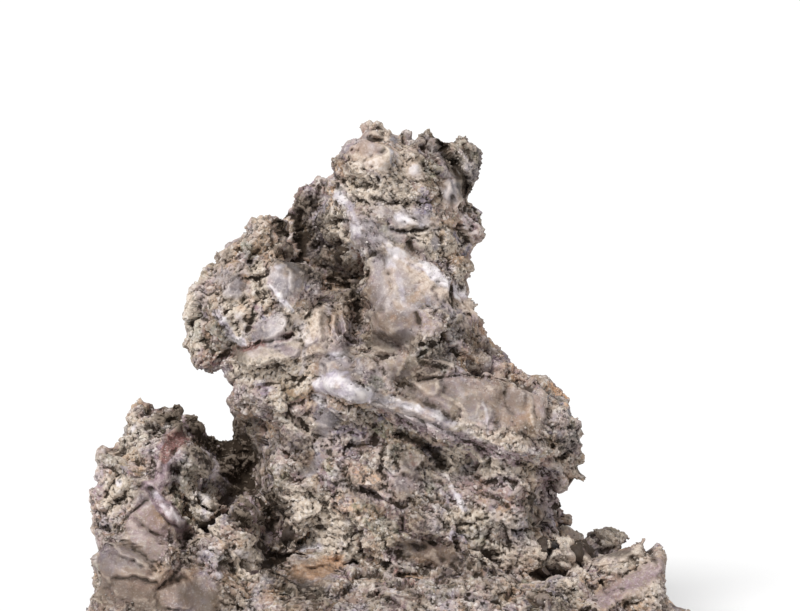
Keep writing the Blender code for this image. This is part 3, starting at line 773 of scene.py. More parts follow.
MARKS: dict[Mineral, tuple[Mark, ...]] = {
    # smoky, waxy faces
    Mineral.QUARTZ: (
        Mark(((371, 146),), 15, 0.5),
        Mark(((454, 176), (452, 194)), 9, 0.9),
        Mark(((286, 280),), 19),
        Mark(((268, 330), (278, 326)), 12),
        Mark(((230, 282), (244, 290)), 9, 0.7),
        Mark(((385, 262), (392, 290), (400, 318)), 24, 0.6),
        Mark(((384, 338), (402, 340)), 10, 0.6),
        Mark(((330, 368), (352, 364)), 14, 0.8),
        Mark(((392, 364),), 15, 0.5),
        Mark(((366, 238), (386, 240)), 7, 0.8),
        Mark(((434, 244),), 7, 0.9),
        Mark(((308, 472), (318, 462)), 7, 0.8),
        Mark(((322, 434), (330, 416)), 8, 0.8),
        Mark(((476, 352), (492, 348)), 8, 0.5),
        Mark(((384, 208), (400, 214), (430, 224)), 9, 0.7),
        Mark(((366, 226), (384, 232), (398, 238)), 7, 0.8),
        Mark(((224, 276), (236, 290)), 10, 0.8),
        Mark(((374, 398), (396, 408), (430, 420), (460, 432)), 9, 0.8),
        Mark(((478, 414), (486, 420)), 11, 0.6),
        Mark(((514, 396), (526, 396)), 9, 0.55),
    ),
    # white and lilac crusts and veins
    Mineral.CHALCEDONY: (
        Mark(((360, 162), (384, 167)), 4, 0.35),
        Mark(((413, 171),), 6, 0.7),
        Mark(((339, 196), (344, 200)), 5, 1.0),
        Mark(((350, 206), (354, 224), (356, 244), (361, 256)), 6, 0.7),
        Mark(((352, 246), (358, 256)), 6, 0.9),
        Mark(((396, 215), (408, 219), (420, 225)), 4, 0.65),
        Mark(((388, 247), (396, 252), (412, 262), (430, 268), (446, 282), (463, 297)), 5.5, 1.05),
        Mark(((384, 256), (394, 270), (401, 286), (404, 304)), 4.2, 0.6),
        Mark(((414, 268), (424, 282)), 3, 0.35),
        Mark(((450, 286), (466, 292)), 6, 0.8),
        Mark(((268, 284), (280, 295), (292, 310)), 3, 0.9),
        Mark(((300, 322), (310, 344)), 5, 0.5),
        Mark(((216, 312), (226, 324), (232, 338), (242, 343)), 4, 0.9),
        Mark(((238, 318), (244, 334)), 5, 0.5),
        Mark(((284, 263), (290, 276), (286, 296)), 1.8, 0.5),
        Mark(((300, 318), (296, 336)), 6, 0.55),
        Mark(((268, 344), (300, 338)), 4, 0.35),
        Mark(((276, 268), (292, 264), (302, 272)), 3, 0.8),
        Mark(((320, 384), (336, 385), (350, 390), (362, 398)), 9, 1.5),
        Mark(((318, 398), (324, 404)), 6, 0.9),
        Mark(((330, 356), (346, 354), (358, 362)), 3.5, 0.8),
        Mark(((400, 402), (411, 406)), 4, 0.75),
        Mark(((420, 408), (436, 414), (453, 425)), 5, 1.05),
        Mark(((374, 396), (392, 406), (424, 412)), 9, 0.2),
        Mark(((452, 426), (470, 435), (490, 444), (512, 455)), 2.2, 0.45),
        Mark(((483, 402), (487, 418), (490, 434)), 1.8, 0.7),
        Mark(((562, 430),), 5, 0.5),
        Mark(((452, 487), (458, 498), (465, 509)), 2.6, 0.9),
        Mark(((462, 470), (474, 462)), 2.5, 0.6),
        Mark(((133, 429),), 5, 0.8),
        Mark(((119, 483),), 4, 0.8),
        Mark(((238, 552), (250, 558)), 5, 0.6),
        Mark(((218, 576),), 5, 0.7),
        Mark(((300, 552), (318, 548)), 6, 0.7),
        Mark(((341, 546),), 4, 0.9),
        Mark(((204, 494), (210, 518)), 8, 0.7),
        Mark(((272, 440), (280, 462), (276, 480)), 5, 0.45),
        Mark(((308, 344), (304, 364), (300, 376)), 3, 0.6),
        Mark(((150, 488), (166, 506), (180, 523)), 5, 0.6, 0.3),
    ),
    # beige crust
    Mineral.CREAM: (
        Mark(((352, 160), (368, 163), (384, 168), (398, 166), (414, 158)), 7, 1.0),
        Mark(((413, 170),), 10, 0.8),
        Mark(((384, 128), (390, 146)), 3, 0.8),
        Mark(((388, 250), (412, 266), (440, 284), (466, 306), (478, 318)), 12, 0.75),
        Mark(((290, 308), (304, 326), (311, 350), (305, 374)), 7, 0.7),
        Mark(((441, 395), (452, 399), (463, 408), (466, 416), (474, 413), (480, 404)), 2.6, 0.7),
        Mark(((436, 371), (438, 388)), 3, 0.7),
        Mark(((507, 384), (500, 388), (486, 388)), 3, 0.5),
        Mark(((528, 394), (531, 408), (533, 424)), 3, 0.6),
        Mark(((414, 386), (432, 380)), 7, 0.5),
        Mark(((545, 446), (560, 452)), 5, 0.6),
        Mark(((322, 297), (316, 320), (309, 344), (304, 362)), 5, 0.8),
        Mark(((318, 330), (326, 340)), 8, 0.6),
        Mark(((344, 304), (347, 332)), 4, 0.5),
        Mark(((362, 165), (396, 158)), 8, 0.6),
        Mark(((413, 345), (422, 338)), 7, 0.9),
        Mark(((352, 349), (380, 350)), 4, 0.8),
        Mark(((500, 436), (522, 444)), 11, 0.8),
        Mark(((456, 420), (484, 428)), 5, 0.6),
        Mark(((220, 262), (232, 246)), 8, 0.6),
        Mark(((263, 222), (256, 236)), 9, 0.5),
        Mark(((565, 589),), 8, 0.8),
        Mark(((230, 545), (248, 540)), 9, 0.5),
        Mark(((640, 545), (656, 550)), 6, 0.5),
        Mark(((380, 270), (396, 300)), 12, 0.5),
        Mark(((468, 304), (472, 318)), 7, 0.8),
        Mark(((556, 542), (574, 557), (600, 564), (628, 555)), 7, 0.6),
        Mark(((346, 470), (376, 484), (346, 506)), 14, 0.4),
    ),
    # warm, smooth tuff
    Mineral.BROWN: (
        Mark(((368, 146),), 16, 0.8),
        Mark(((470, 390), (500, 392), (540, 396)), 14, 0.55),
        Mark(((500, 414), (560, 420)), 14, 0.4),
        Mark(((430, 390), (466, 404)), 13, 0.5),
        Mark(((378, 290), (386, 316)), 18, 0.45),
        Mark(((320, 392), (286, 300)), 10, 0.3),
        Mark(((100, 590), (160, 590)), 26, 0.6),
        Mark(((230, 595),), 16, 0.6),
        Mark(((330, 290), (346, 282)), 12, 0.6),
        Mark(((450, 570), (480, 584), (520, 566)), 18, 0.5),
        Mark(((396, 504), (424, 520)), 18, 0.45),
        Mark(((380, 452), (412, 470)), 16, 0.4),
        Mark(((536, 480), (556, 530)), 14, 0.35),
        Mark(((220, 540), (250, 580)), 16, 0.35),
        Mark(((280, 512), (296, 556)), 14, 0.6),
        Mark(((286, 242), (300, 220)), 12, 0.5),
        Mark(((140, 520), (160, 540), (150, 556)), 16, 0.5),
        Mark(((604, 598), (634, 582), (656, 560)), 14, 0.5),
    ),
    # iron-tinted, fine-grained
    Mineral.MAUVE: (
        Mark(((148, 487), (164, 505), (181, 526)), 7, 1.6, 0.25),
        Mark(((160, 462), (164, 478), (156, 488)), 6, 0.9),
        Mark(((130, 516), (150, 530), (166, 552)), 16, 0.5),
        Mark(((604, 600), (630, 584), (660, 566)), 9, 0.7),
        Mark(((476, 324), (488, 336)), 9, 0.9),
        Mark(((400, 420), (430, 430), (470, 442), (516, 460)), 6, 0.9),
        Mark(((235, 392),), 8, 0.7),
        Mark(((300, 412), (350, 414)), 10, 0.4),
        Mark(((545, 480), (560, 508)), 8, 0.7),
        Mark(((500, 520), (520, 545)), 12, 0.4),
        Mark(((450, 484), (498, 500)), 16, 0.45),
        Mark(((330, 440), (352, 470)), 14, 0.4),
        Mark(((420, 530), (440, 540)), 12, 0.35),
        Mark(((472, 222), (478, 238)), 7, 0.6),
        Mark(((352, 224), (372, 230)), 8, 0.35),
        Mark(((260, 352), (300, 346)), 8, 0.3),
        Mark(((196, 438), (182, 432), (170, 440), (162, 454), (162, 480)), 8, 1.3, 0.35),
        Mark(((462, 152), (472, 164)), 6, 0.4),
        Mark(((424, 320), (434, 326)), 14, 0.5),
    ),
    # red-brown stain
    Mineral.RUST: (
        Mark(((198, 438), (185, 434), (174, 442), (166, 456)), 8, 1.6, 0.3),
        Mark(((240, 348), (264, 343), (290, 336)), 3.5, 1.1),
        Mark(((202, 360), (222, 362), (232, 354)), 6, 0.7),
        Mark(((400, 436), (420, 444)), 4, 0.6),
        Mark(((398, 572), (412, 580)), 6, 0.7),
        Mark(((410, 456), (416, 464)), 5, 0.4),
        Mark(((570, 470), (576, 456)), 5, 0.4),
    ),
    # orange stain
    Mineral.OCHRE: (
        Mark(((393, 318),), 4.5, 0.9),
        Mark(((286, 574), (312, 572), (336, 562)), 10, 0.9),
        Mark(((352, 470), (374, 480)), 12, 0.5),
        Mark(((340, 504), (360, 508)), 11, 0.5),
        Mark(((388, 424), (394, 440)), 8, 0.35),
        Mark(((552, 386), (566, 398), (572, 408)), 5, 1.0),
        Mark(((506, 356), (514, 368)), 5, 0.8),
        Mark(((242, 308), (250, 318)), 5, 0.5),
        Mark(((238, 232), (250, 222)), 4, 0.4),
        Mark(((380, 412),), 4, 0.5),
        Mark(((334, 330),), 8, 0.35),
    ),
    # grey-green, speckled
    Mineral.GREEN: (
        Mark(((458, 140), (470, 160)), 12, 0.55),
        Mark(((196, 330), (206, 320), (214, 338)), 16, 0.5),
        Mark(((378, 382), (366, 394)), 7, 0.7),
        Mark(((192, 460), (176, 486)), 9, 0.5),
        Mark(((390, 574), (414, 572)), 10, 0.5),
        Mark(((440, 350), (446, 366)), 7, 0.5),
        Mark(((484, 526), (520, 536)), 15, 0.4),
        Mark(((440, 470), (470, 474)), 12, 0.35),
        Mark(((350, 560), (380, 580)), 14, 0.35),
        Mark(((150, 424), (140, 446)), 12, 0.35),
        Mark(((110, 448), (124, 440)), 9, 0.4),
        Mark(((574, 440),), 8, 0.5),
        Mark(((452, 316), (454, 340)), 6, 0.5),
    ),
    # dark blue-grey
    Mineral.SLATE: (
        Mark(((394, 134), (394, 162)), 4.5, 0.8),
        Mark(((366, 400), (392, 400)), 6, 0.7),
        Mark(((472, 168), (470, 190)), 8, 0.5),
        Mark(((424, 310), (434, 326), (442, 350)), 13, 0.45),
        Mark(((450, 322), (450, 340), (446, 356)), 6, 0.6),
        Mark(((322, 414), (334, 418)), 9, 0.9),
        Mark(((360, 408), (378, 402)), 8, 0.6),
        Mark(((404, 424), (440, 432), (480, 446)), 6, 0.6),
        Mark(((366, 230), (380, 242)), 7, 0.5),
        Mark(((300, 470), (296, 440)), 10, 0.4),
        Mark(((530, 456), (556, 450)), 9, 0.4),
    ),
    # painted shade: dark brown laid into the hollows, clefts and undersides where they lie in shadow
    Mineral.SHADE: (
        Mark(((444, 186), (442, 198)), 5, 0.4),
        Mark(((474, 382), (500, 386)), 9, 0.25),
        Mark(((366, 340), (388, 342), (410, 340)), 10, 0.8),
        Mark(((364, 304), (374, 312)), 9, 0.5),
        Mark(((206, 462), (222, 470)), 11, 1.0),
        Mark(((258, 490), (258, 508)), 9, 0.8),
        Mark(((430, 380), (448, 394)), 11, 0.45),
        Mark(((470, 406), (520, 402)), 10, 0.4),
        Mark(((400, 590), (414, 602)), 10, 0.6),
        Mark(((440, 556), (460, 560)), 11, 0.5),
        Mark(((286, 220), (292, 232), (298, 250)), 13, 1.2),
        Mark(((306, 206), (316, 222)), 13, 0.95),
        Mark(((290, 258), (312, 268), (334, 280), (350, 288)), 14, 1.0),
        Mark(((354, 292), (362, 306), (362, 322)), 9, 0.7),
        Mark(((166, 407), (182, 413), (202, 430)), 13, 1.8),
        Mark(((200, 448), (212, 458), (222, 476)), 15, 1.0),
        Mark(((224, 476), (240, 492), (256, 512)), 14, 0.6),
        Mark(((222, 440), (236, 456), (250, 484), (256, 506)), 24, 1.5),
        Mark(((402, 436), (418, 440), (434, 452), (442, 464)), 5, 1.0),
        Mark(((402, 376), (422, 370), (440, 358)), 13, 0.85),
        Mark(((402, 382), (412, 394)), 11, 0.55),
        Mark(((412, 392), (425, 401), (440, 411), (454, 424)), 6, 0.42),
        Mark(((506, 386), (498, 406), (498, 426)), 5, 0.4),
        Mark(((524, 434), (544, 440)), 8, 0.45),
        Mark(((560, 442), (567, 452)), 6, 0.6),
        Mark(((464, 384), (466, 388)), 4, 0.4),
        Mark(((352, 376), (372, 386), (380, 398)), 9, 0.4),
        Mark(((405, 552), (436, 550), (466, 562), (448, 574)), 12, 0.7),
        Mark(((276, 570), (290, 582), (314, 596)), 14, 0.95),
        Mark(((300, 562), (324, 574)), 10, 0.45),
        Mark(((290, 604), (340, 604)), 14, 0.5),
        Mark(((96, 568), (110, 592), (146, 604)), 18, 0.6),
        Mark(((100, 540), (118, 556), (144, 560)), 14, 0.5),
        Mark(((136, 484), (144, 494)), 8, 0.45),
        Mark(((190, 592), (206, 606), (224, 604)), 16, 0.75),
        Mark(((186, 530), (196, 560), (188, 580)), 10, 0.55),
        Mark(((576, 548), (604, 549), (628, 548)), 4, 0.6),
        Mark(((532, 508), (540, 520)), 9, 0.6),
        Mark(((536, 598), (562, 602)), 14, 0.8),
        Mark(((442, 136), (448, 156), (460, 174), (468, 194)), 7, 1.0),
        Mark(((474, 148), (480, 166), (474, 180)), 9, 0.6),
        Mark(((424, 136), (422, 152), (428, 168)), 9, 0.5),
        Mark(((386, 166), (392, 170)), 3, 0.5),
        Mark(((392, 182), (404, 190)), 5, 0.35),
        Mark(((396, 238), (412, 248)), 9, 0.45),
        Mark(((372, 252), (384, 258)), 6, 0.5),
        Mark(((366, 292), (376, 312), (398, 326), (412, 318)), 9, 0.45),
        Mark(((374, 337), (388, 340), (404, 337)), 8, 0.5),
        Mark(((232, 278), (240, 290)), 8, 0.4),
        Mark(((236, 350), (242, 360)), 7, 0.7),
        Mark(((250, 330), (264, 336)), 7, 0.35),
        Mark(((283, 220), (290, 242)), 8, 0.9),
        Mark(((306, 246), (324, 256), (344, 262)), 10, 0.8),
        Mark(((280, 438), (304, 446), (306, 462)), 10, 0.7),
        Mark(((356, 444), (364, 450)), 7, 0.4),
        Mark(((400, 490), (412, 512)), 8, 0.4),
        Mark(((376, 600), (396, 606)), 10, 0.4),
        Mark(((484, 578), (498, 588)), 8, 0.4),
        Mark(((653, 559), (655, 563)), 3, 0.8),
        Mark(((604, 552), (628, 554)), 5, 0.8),
        Mark(((570, 430), (576, 462)), 8, 0.4),
        Mark(((396, 230), (426, 228)), 2.5, 0.6),
        Mark(((422, 148), (426, 158)), 8, 0.3),
        Mark(((338, 148), (346, 158)), 8, 0.25),
        Mark(((408, 245), (414, 252)), 7, 0.5),
        Mark(((432, 196), (444, 206)), 10, 0.25),
        Mark(((324, 416), (334, 420)), 8, 0.5),
        Mark(((360, 396), (372, 388)), 8, 0.5),
        Mark(((376, 512), (400, 518), (420, 524)), 10, 0.6),
        Mark(((344, 476), (354, 492), (368, 500)), 8, 0.55),
        Mark(((412, 446), (424, 458), (430, 468)), 9, 0.5),
        Mark(((396, 448), (404, 464), (424, 476)), 9, 0.55),
        Mark(((290, 286), (302, 276)), 9, 0.3),
        Mark(((376, 306), (382, 322)), 9, 0.35),
        Mark(((458, 328), (470, 334), (484, 344)), 10, 0.65),
        Mark(((214, 258), (224, 252)), 9, 0.8),
        Mark(((350, 352), (366, 358)), 8, 0.5),
        Mark(((102, 532), (124, 544), (152, 568)), 4, 0.5),
        Mark(((178, 470), (194, 476)), 6, 0.6),
    ),
    # pale stone, partly its own colour and partly painted light laid on faces that lie in shadow
    Mineral.LIGHT: (
        Mark(((290, 540), (306, 526), (322, 500)), 11, 1.1),
        Mark(((248, 552), (252, 570)), 10, 1.0),
        Mark(((342, 542), (350, 556)), 10, 1.0),
        Mark(((528, 548), (548, 560), (572, 562)), 12, 0.7),
        Mark(((564, 588), (568, 600)), 9, 1.0),
        Mark(((394, 166), (400, 172)), 8, 1.0),
        Mark(((262, 368), (284, 370), (304, 374)), 9, 0.9),
        Mark(((478, 452), (488, 460)), 9, 0.8),
        Mark(((604, 536), (608, 542)), 9, 1.0),
        Mark(((326, 436), (340, 440)), 10, 0.6),
        Mark(((374, 470), (384, 460)), 9, 0.6),
        Mark(((434, 334), (438, 346)), 9, 0.6),
        Mark(((638, 550), (646, 562)), 8, 0.8),
        Mark(((356, 182), (380, 190), (402, 196)), 18, 0.85),
        Mark(((344, 236), (352, 256), (362, 262)), 11, 0.9),
        Mark(((188, 300), (192, 320), (196, 340)), 11, 1.0),
        Mark(((236, 306), (246, 316), (236, 328)), 13, 1.0),
        Mark(((288, 326), (298, 338), (306, 320)), 13, 1.0),
        Mark(((246, 368), (280, 368), (302, 378)), 15, 1.1),
        Mark(((240, 400), (250, 406)), 11, 0.4),
        Mark(((130, 424), (140, 436), (126, 450)), 14, 0.7),
        Mark(((114, 500), (120, 488)), 13, 1.2),
        Mark(((194, 478), (206, 498), (210, 524)), 13, 1.4),
        Mark(((302, 508), (318, 528), (342, 542)), 24, 1.1),
        Mark(((320, 444), (332, 450)), 9, 0.5),
        Mark(((372, 470), (378, 490)), 8, 0.5),
        Mark(((452, 462), (478, 446), (490, 462)), 14, 1.2),
        Mark(((494, 466), (530, 470)), 11, 0.6),
        Mark(((560, 462), (578, 466)), 12, 0.6),
        Mark(((560, 560), (590, 566), (620, 562)), 12, 0.6),
        Mark(((640, 560), (660, 590), (670, 604)), 14, 0.5),
        Mark(((484, 556), (520, 556)), 13, 0.9),
        Mark(((544, 548), (562, 540)), 12, 0.9),
        Mark(((240, 560), (254, 556)), 12, 1.0),
        Mark(((392, 566), (402, 574)), 8, 0.5),
        Mark(((382, 352), (392, 354)), 8, 0.7),
        Mark(((454, 160), (462, 186)), 9, 0.85),
        Mark(((258, 270), (262, 300)), 9, 0.85),
        Mark(((296, 316), (300, 344)), 10, 0.6),
        Mark(((590, 536), (618, 535)), 10, 1.0),
        Mark(((296, 374), (306, 386)), 9, 0.5),
        Mark(((262, 222), (270, 244)), 10, 0.5),
        Mark(((394, 156), (404, 168)), 11, 1.0),
        Mark(((378, 130), (386, 144)), 9, 0.9),
        Mark(((418, 230), (438, 252), (458, 240)), 11, 0.8),
        Mark(((456, 516), (476, 516), (508, 524)), 11, 0.8),
        Mark(((332, 222), (336, 240), (346, 250)), 11, 1.0),
        Mark(((357, 252), (361, 268)), 8, 0.9),
        Mark(((462, 276), (468, 292)), 8, 1.2),
        Mark(((364, 178), (380, 180)), 10, 0.8),
        Mark(((568, 586), (573, 597)), 9, 1.0),
        Mark(((256, 550), (262, 562)), 9, 1.0),
        Mark(((346, 540), (350, 556)), 9, 0.9),
        Mark(((352, 412), (364, 418)), 9, 0.8),
        Mark(((276, 400), (286, 416), (300, 424), (322, 436)), 11, 0.75),
    ),
    # waxy or finely broken, with no pits
    Mineral.SMOOTH: (
        Mark(((534, 552), (556, 560), (584, 566)), 11, 0.35),
        Mark(((395, 275), (395, 318)), 28, 0.9),
        Mark(((430, 395), (530, 410)), 22, 0.85),
        Mark(((364, 146), (380, 150)), 18, 1.1),
        Mark(((286, 280),), 20, 0.95),
        Mark(((270, 332),), 14, 0.85),
        Mark(((246, 352), (308, 346)), 9, 0.8),
        Mark(((320, 310), (318, 344)), 10, 0.8),
        Mark(((340, 366),), 17, 0.8),
        Mark(((320, 384), (360, 396)), 9, 0.7),
        Mark(((386, 340), (392, 364)), 17, 0.8),
        Mark(((106, 574), (150, 590), (196, 596)), 22, 0.95),
        Mark(((148, 516), (142, 546)), 12, 0.6),
        Mark(((300, 572), (330, 570)), 12, 0.8),
        Mark(((472, 300), (470, 316)), 9, 0.9),
        Mark(((410, 550), (450, 556)), 9, 0.7),
        Mark(((576, 556), (604, 563), (640, 548)), 8, 0.7),
        Mark(((604, 600), (634, 582), (660, 566)), 12, 0.8),
        Mark(((430, 324),), 13, 0.6),
        Mark(((240, 352), (300, 350)), 8, 0.8),
        Mark(((404, 486), (412, 458)), 10, 0.6),
        Mark(((198, 438), (184, 434), (170, 446), (160, 480)), 8, 0.9),
        Mark(((148, 487), (181, 528)), 8, 1.1, 0.3),
        Mark(((150, 516), (142, 546), (124, 570)), 22, 0.95),
        Mark(((336, 366),), 24, 0.85),
        Mark(((330, 322),), 20, 0.8),
        Mark(((400, 362),), 20, 0.7),
        Mark(((453, 180), (454, 196)), 12, 1.1),
        Mark(((400, 404), (450, 424)), 9, 0.7),
        Mark(((412, 170),), 9, 0.7),
        Mark(((356, 210), (356, 252)), 5, 0.7),
        Mark(((392, 214), (424, 226)), 7, 0.6),
        Mark(((320, 570),), 18, 0.5),
        Mark(((432, 290), (456, 300)), 14, 0.8),
        Mark(((540, 512),), 10, 0.8),
    ),
}


# Finishes.


Values = dict[str, bpy.types.NodeSocket]
COLOURS = {"data_type": "RGBA"}
SOFTLY = {"interpolation_type": "SMOOTHSTEP"}


@dataclass(frozen=True)
class Layer:
    """A colour that is laid over the stone where one of its values rises from one level to another.

    Attributes:
        value: The name of the value.
        low: Where the colour starts to show. Where it is above high, the colour shows below it.
        high: Where the colour shows in full.
        most: How much of it shows there, from 0 to 1.
        colour: The colour, as six hex digits.
        within: The name of a second value, which the share is multiplied by.
        blend: How the colour is mixed with what lies under it.
    """

    value: str
    low: float
    high: float
    most: float
    colour: str
    within: str = ""
    blend: str = "MIX"


@dataclass(frozen=True)
class TuffFinish:
    """Rhyolite tuff, broken and weathered.

    The eye gets a dry, granular, grey-beige stone that is dark in its crevices, partly from their dirt and
    partly from painted shade, and paler on its edges, peppered with crystal grains, with waxy grey quartz and
    matt white chalcedony where silica has run. Painted shade and painted light are laid where the marks put
    them.
    """

    pale: str = "c8b6a5"
    plain: str = "a18d7c"
    dark: str = "6f5b49"
    mauve: str = "99808a"
    sand: str = "bd9b7e"
    # The dark brown of the painted shade and of the dirt in the crevices.
    crevice: str = "322517"
    grain_dark: str = "45403a"
    grain_light: str = "e2dad4"
    # Clouds of tone: a name, how wide they are in millimetres, how many finer ones lie on them, how rough.
    clouds: tuple[tuple[str, float, float, float], ...] = (
        ("broad", 14.0, 3.0, 0.6),
        ("cool", 11.0, 3.0, 0.6),
        ("warm", 9.0, 3.0, 0.6),
        ("hue", 6.0, 4.0, 0.6),
        ("middle", 4.0, 5.0, 0.65),
        ("tint", 3.0, 3.0, 0.6),
        ("fine", 1.1, 4.0, 0.7),
        ("speck", 0.5, 2.0, 0.6),
    )
    # Crystal grains, in millimetres.
    grain: float = 0.8
    # Broken pieces, welded in: how wide in millimetres, how far their borders stray in metres, and how much
    # of their tint and of their tone shows.
    pieces: tuple[tuple[float, float, float, float], ...] = (
        (6.0, 0.002, 1.0, 1.0),
        (2.2, 0.0035, 0.45, 0.67),
    )
    piece_tints: tuple[Layer, ...] = (
        Layer("red", 0.72, 0.80, 0.8, mauve),
        Layer("green", 0.78, 0.86, 0.8, "9892a6"),
        Layer("blue", 0.76, 0.84, 0.8, "8f8d77"),
        Layer("red", 0.22, 0.14, 0.75, sand),
    )
    piece_tones: tuple[Layer, ...] = (
        Layer("green", 0.26, 0.16, 0.7, dark),
        Layer("blue", 0.20, 0.14, 0.5, "d9cdc3"),
    )
    # Where silica has soaked in, the pieces blur into one waxy, clouded skin.
    glaze_warm: str = "ab9685"
    glaze: tuple[Layer, ...] = (
        Layer("hue", 0.40, 0.60, 1.0, "c8bab0"),
        Layer("tint", 0.50, 0.64, 0.8, "968c92"),
        Layer("broad", 0.50, 0.66, 0.6, "8a7261"),
    )
    # Weathering and the drift of the ash's own colour.
    stains: tuple[Layer, ...] = (
        Layer("hue", 0.52, 0.64, 0.4, mauve),
        Layer("tint", 0.54, 0.66, 0.35, sand),
        Layer("broad", 0.48, 0.7, 0.4, dark),
        Layer("fine", 0.5, 0.7, 0.6, dark),
        Layer("cool", 0.50, 0.62, 0.4, "928a9e"),
        Layer("warm", 0.53, 0.65, 0.45, "ad8a6c"),
    )
    # Crystal grains, set in the open stone or loose on it, and specks finer than a grain.
    grains: tuple[Layer, ...] = (
        Layer("grain", 0.80, 0.86, 0.6, grain_dark, "open"),
        Layer("grain", 0.16, 0.1, 0.5, grain_light, "open"),
        Layer("tone", 0.78, 0.86, 0.7, grain_dark),
        Layer("tone", 0.3, 0.1, 0.55, grain_light),
        Layer("speck", 0.56, 0.68, 0.35, grain_light),
    )
    # Darker deep in the crevices, partly as their dirt and partly as painted shade, and paler where the stone
    # stands out furthest.
    dirt_shade_and_pale_edges: tuple[Layer, ...] = (
        Layer("crevice", 0.08, 0.9, 0.9, crevice),
        Layer("crevice", -0.15, -0.7, 0.3, pale, blend="SCREEN"),
    )
    # The minerals that the mesh holds, each with its colour where it lies thick and where it lies thin.
    minerals: tuple[tuple[Mineral, str, str], ...] = (
        # Painted light, with stone that is pale of itself.
        (Mineral.LIGHT, "dccebe", "b5a390"),
        (Mineral.BROWN, "b0988a", "866f5e"),
        (Mineral.CREAM, "dccbbc", "b49d8a"),
        (Mineral.GREEN, "9a9a8d", "5d5f56"),
        (Mineral.SLATE, "92909a", "54535a"),
        (Mineral.MAUVE, "a18a92", "6d585e"),
        (Mineral.RUST, "8d625c", "55382f"),
        (Mineral.OCHRE, "cfa888", "a67d5c"),
        (Mineral.QUARTZ, "b5abab", "8a8388"),
        (Mineral.CHALCEDONY, "ebe5e7", "b9afbb"),
    )
    # What is worked out from the values: a name, how, and of which two.
    sums: tuple[tuple[str, str, str | float, str | float], ...] = (
        ("soaked", "MULTIPLY", "smooth", 0.8),
        # the share of painted shade, from the SHADE marks
        ("painted_shade", "MULTIPLY", "shade", 0.9),
        ("torn", "MULTIPLY", "middle", 0.7),
        ("nibbled", "MULTIPLY", "fine", 1.3),
        ("ragged", "ADD", "torn", "nibbled"),
        ("fray", "SUBTRACT", "ragged", 1.0),
        ("sealed", "MAXIMUM", "smooth", "quartz"),
        ("open", "SUBTRACT", 1.0, "sealed"),
        ("sheen", "MULTIPLY", "smooth", 0.6),
        ("glassy", "MAXIMUM", "quartz", "sheen"),
        ("uneven", "SUBTRACT", "middle", 0.5),
        ("wax", "ADD", "glassy", "uneven"),
        ("fine_relief", "MULTIPLY", "fine", 0.7),
        ("speck_relief", "MULTIPLY", "speck", 0.4),
        ("grain_relief", "MULTIPLY", "grain", 0.25),
        ("low_relief", "ADD", "fine_relief", "speck_relief"),
        ("relief", "ADD", "low_relief", "grain_relief"),
    )
    roughness: tuple[float, float] = (0.9, 0.42)
    bump: tuple[float, float] = (0.9, 0.25)
    bump_height: float = 0.5

    def build(self) -> bpy.types.Material:
        """Makes the material.

        Returns:
            The material.
        """
        material = bpy.data.materials.new("rhyolite_tuff")
        material.use_nodes = True
        tree = material.node_tree
        shader = tree.nodes["Principled BSDF"]
        place = add_node(tree, "TexCoord").outputs["Object"]
        values = self._values(tree, place)
        stone = self._lay(tree, linear(self.plain), (Layer("middle", 0.36, 0.66, 1.0, self.pale),), values)
        stone = self._weld(tree, place, stone)
        glaze = self._lay(tree, linear(self.glaze_warm), self.glaze, values)
        stone = add_node(tree, "Mix", COLOURS, i0=values["soaked"], i6=stone, i7=glaze).outputs[2]
        stone = self._lay(tree, stone, self.stains, values)
        stone = self._mineralise(tree, stone, values)
        stone = self._lay(tree, stone, self.grains, values)
        # Painted shade: the dark crevice colour, laid as far as the SHADE marks reach.
        painted_shade = linear(self.crevice)
        stone = add_node(tree, "Mix", COLOURS, i0=values["painted_shade"], i6=stone, i7=painted_shade).outputs[2]
        # Painted shade and dirt in the crevices, and paler outer edges, go on last.
        tree.links.new(self._lay(tree, stone, self.dirt_shade_and_pale_edges, values), shader.inputs["Base Color"])

        waxy = add_node(tree, "MapRange", SOFTLY, i0=values["wax"], i1=0.2, i2=0.9, i3=0.0, i4=1.0).outputs[0]
        dry, glossy = self.roughness
        rough = add_node(tree, "MapRange", None, i0=waxy, i1=0.0, i2=1.0, i3=dry, i4=glossy)
        tree.links.new(rough.outputs[0], shader.inputs["Roughness"])
        coarse, calm = self.bump
        strength = add_node(tree, "MapRange", None, i0=waxy, i1=0.0, i2=1.0, i3=coarse, i4=calm).outputs[0]
        distance = self.bump_height * MM
        bump = add_node(tree, "Bump", None, Strength=strength, Distance=distance, Height=values["relief"])
        tree.links.new(bump.outputs[0], shader.inputs["Normal"])
        return material

    def _values(self, tree: bpy.types.NodeTree, place: bpy.types.NodeSocket) -> Values:
        """Gathers the values that say what the stone is like at each place.

        Args:
            tree: The material's nodes.
            place: The place on the stone.

        Returns:
            The values by name: those that the mesh holds, the clouds, the grains and the sums.
        """
        values: Values = {}
        for name in (*HELD, "tone"):
            values[name] = add_node(tree, "Attribute", {"attribute_name": name}).outputs["Fac"]
        for name, wide, detail, rough in self.clouds:
            cloud = {"Scale": 1 / (wide * MM), "Detail": detail, "Roughness": rough}
            values[name] = add_node(tree, "TexNoise", None, Vector=place, **cloud).outputs["Fac"]
        grains = add_node(tree, "TexVoronoi", None, Vector=place, Scale=1 / (self.grain * MM))
        values["grain"] = add_node(tree, "SeparateColor", None, i0=grains.outputs["Color"]).outputs[0]
        for name, how, first, second in self.sums:
            pair = {"i0": values.get(first, first), "i1": values.get(second, second)}
            values[name] = add_node(tree, "Math", {"operation": how}, **pair).outputs[0]
        return values

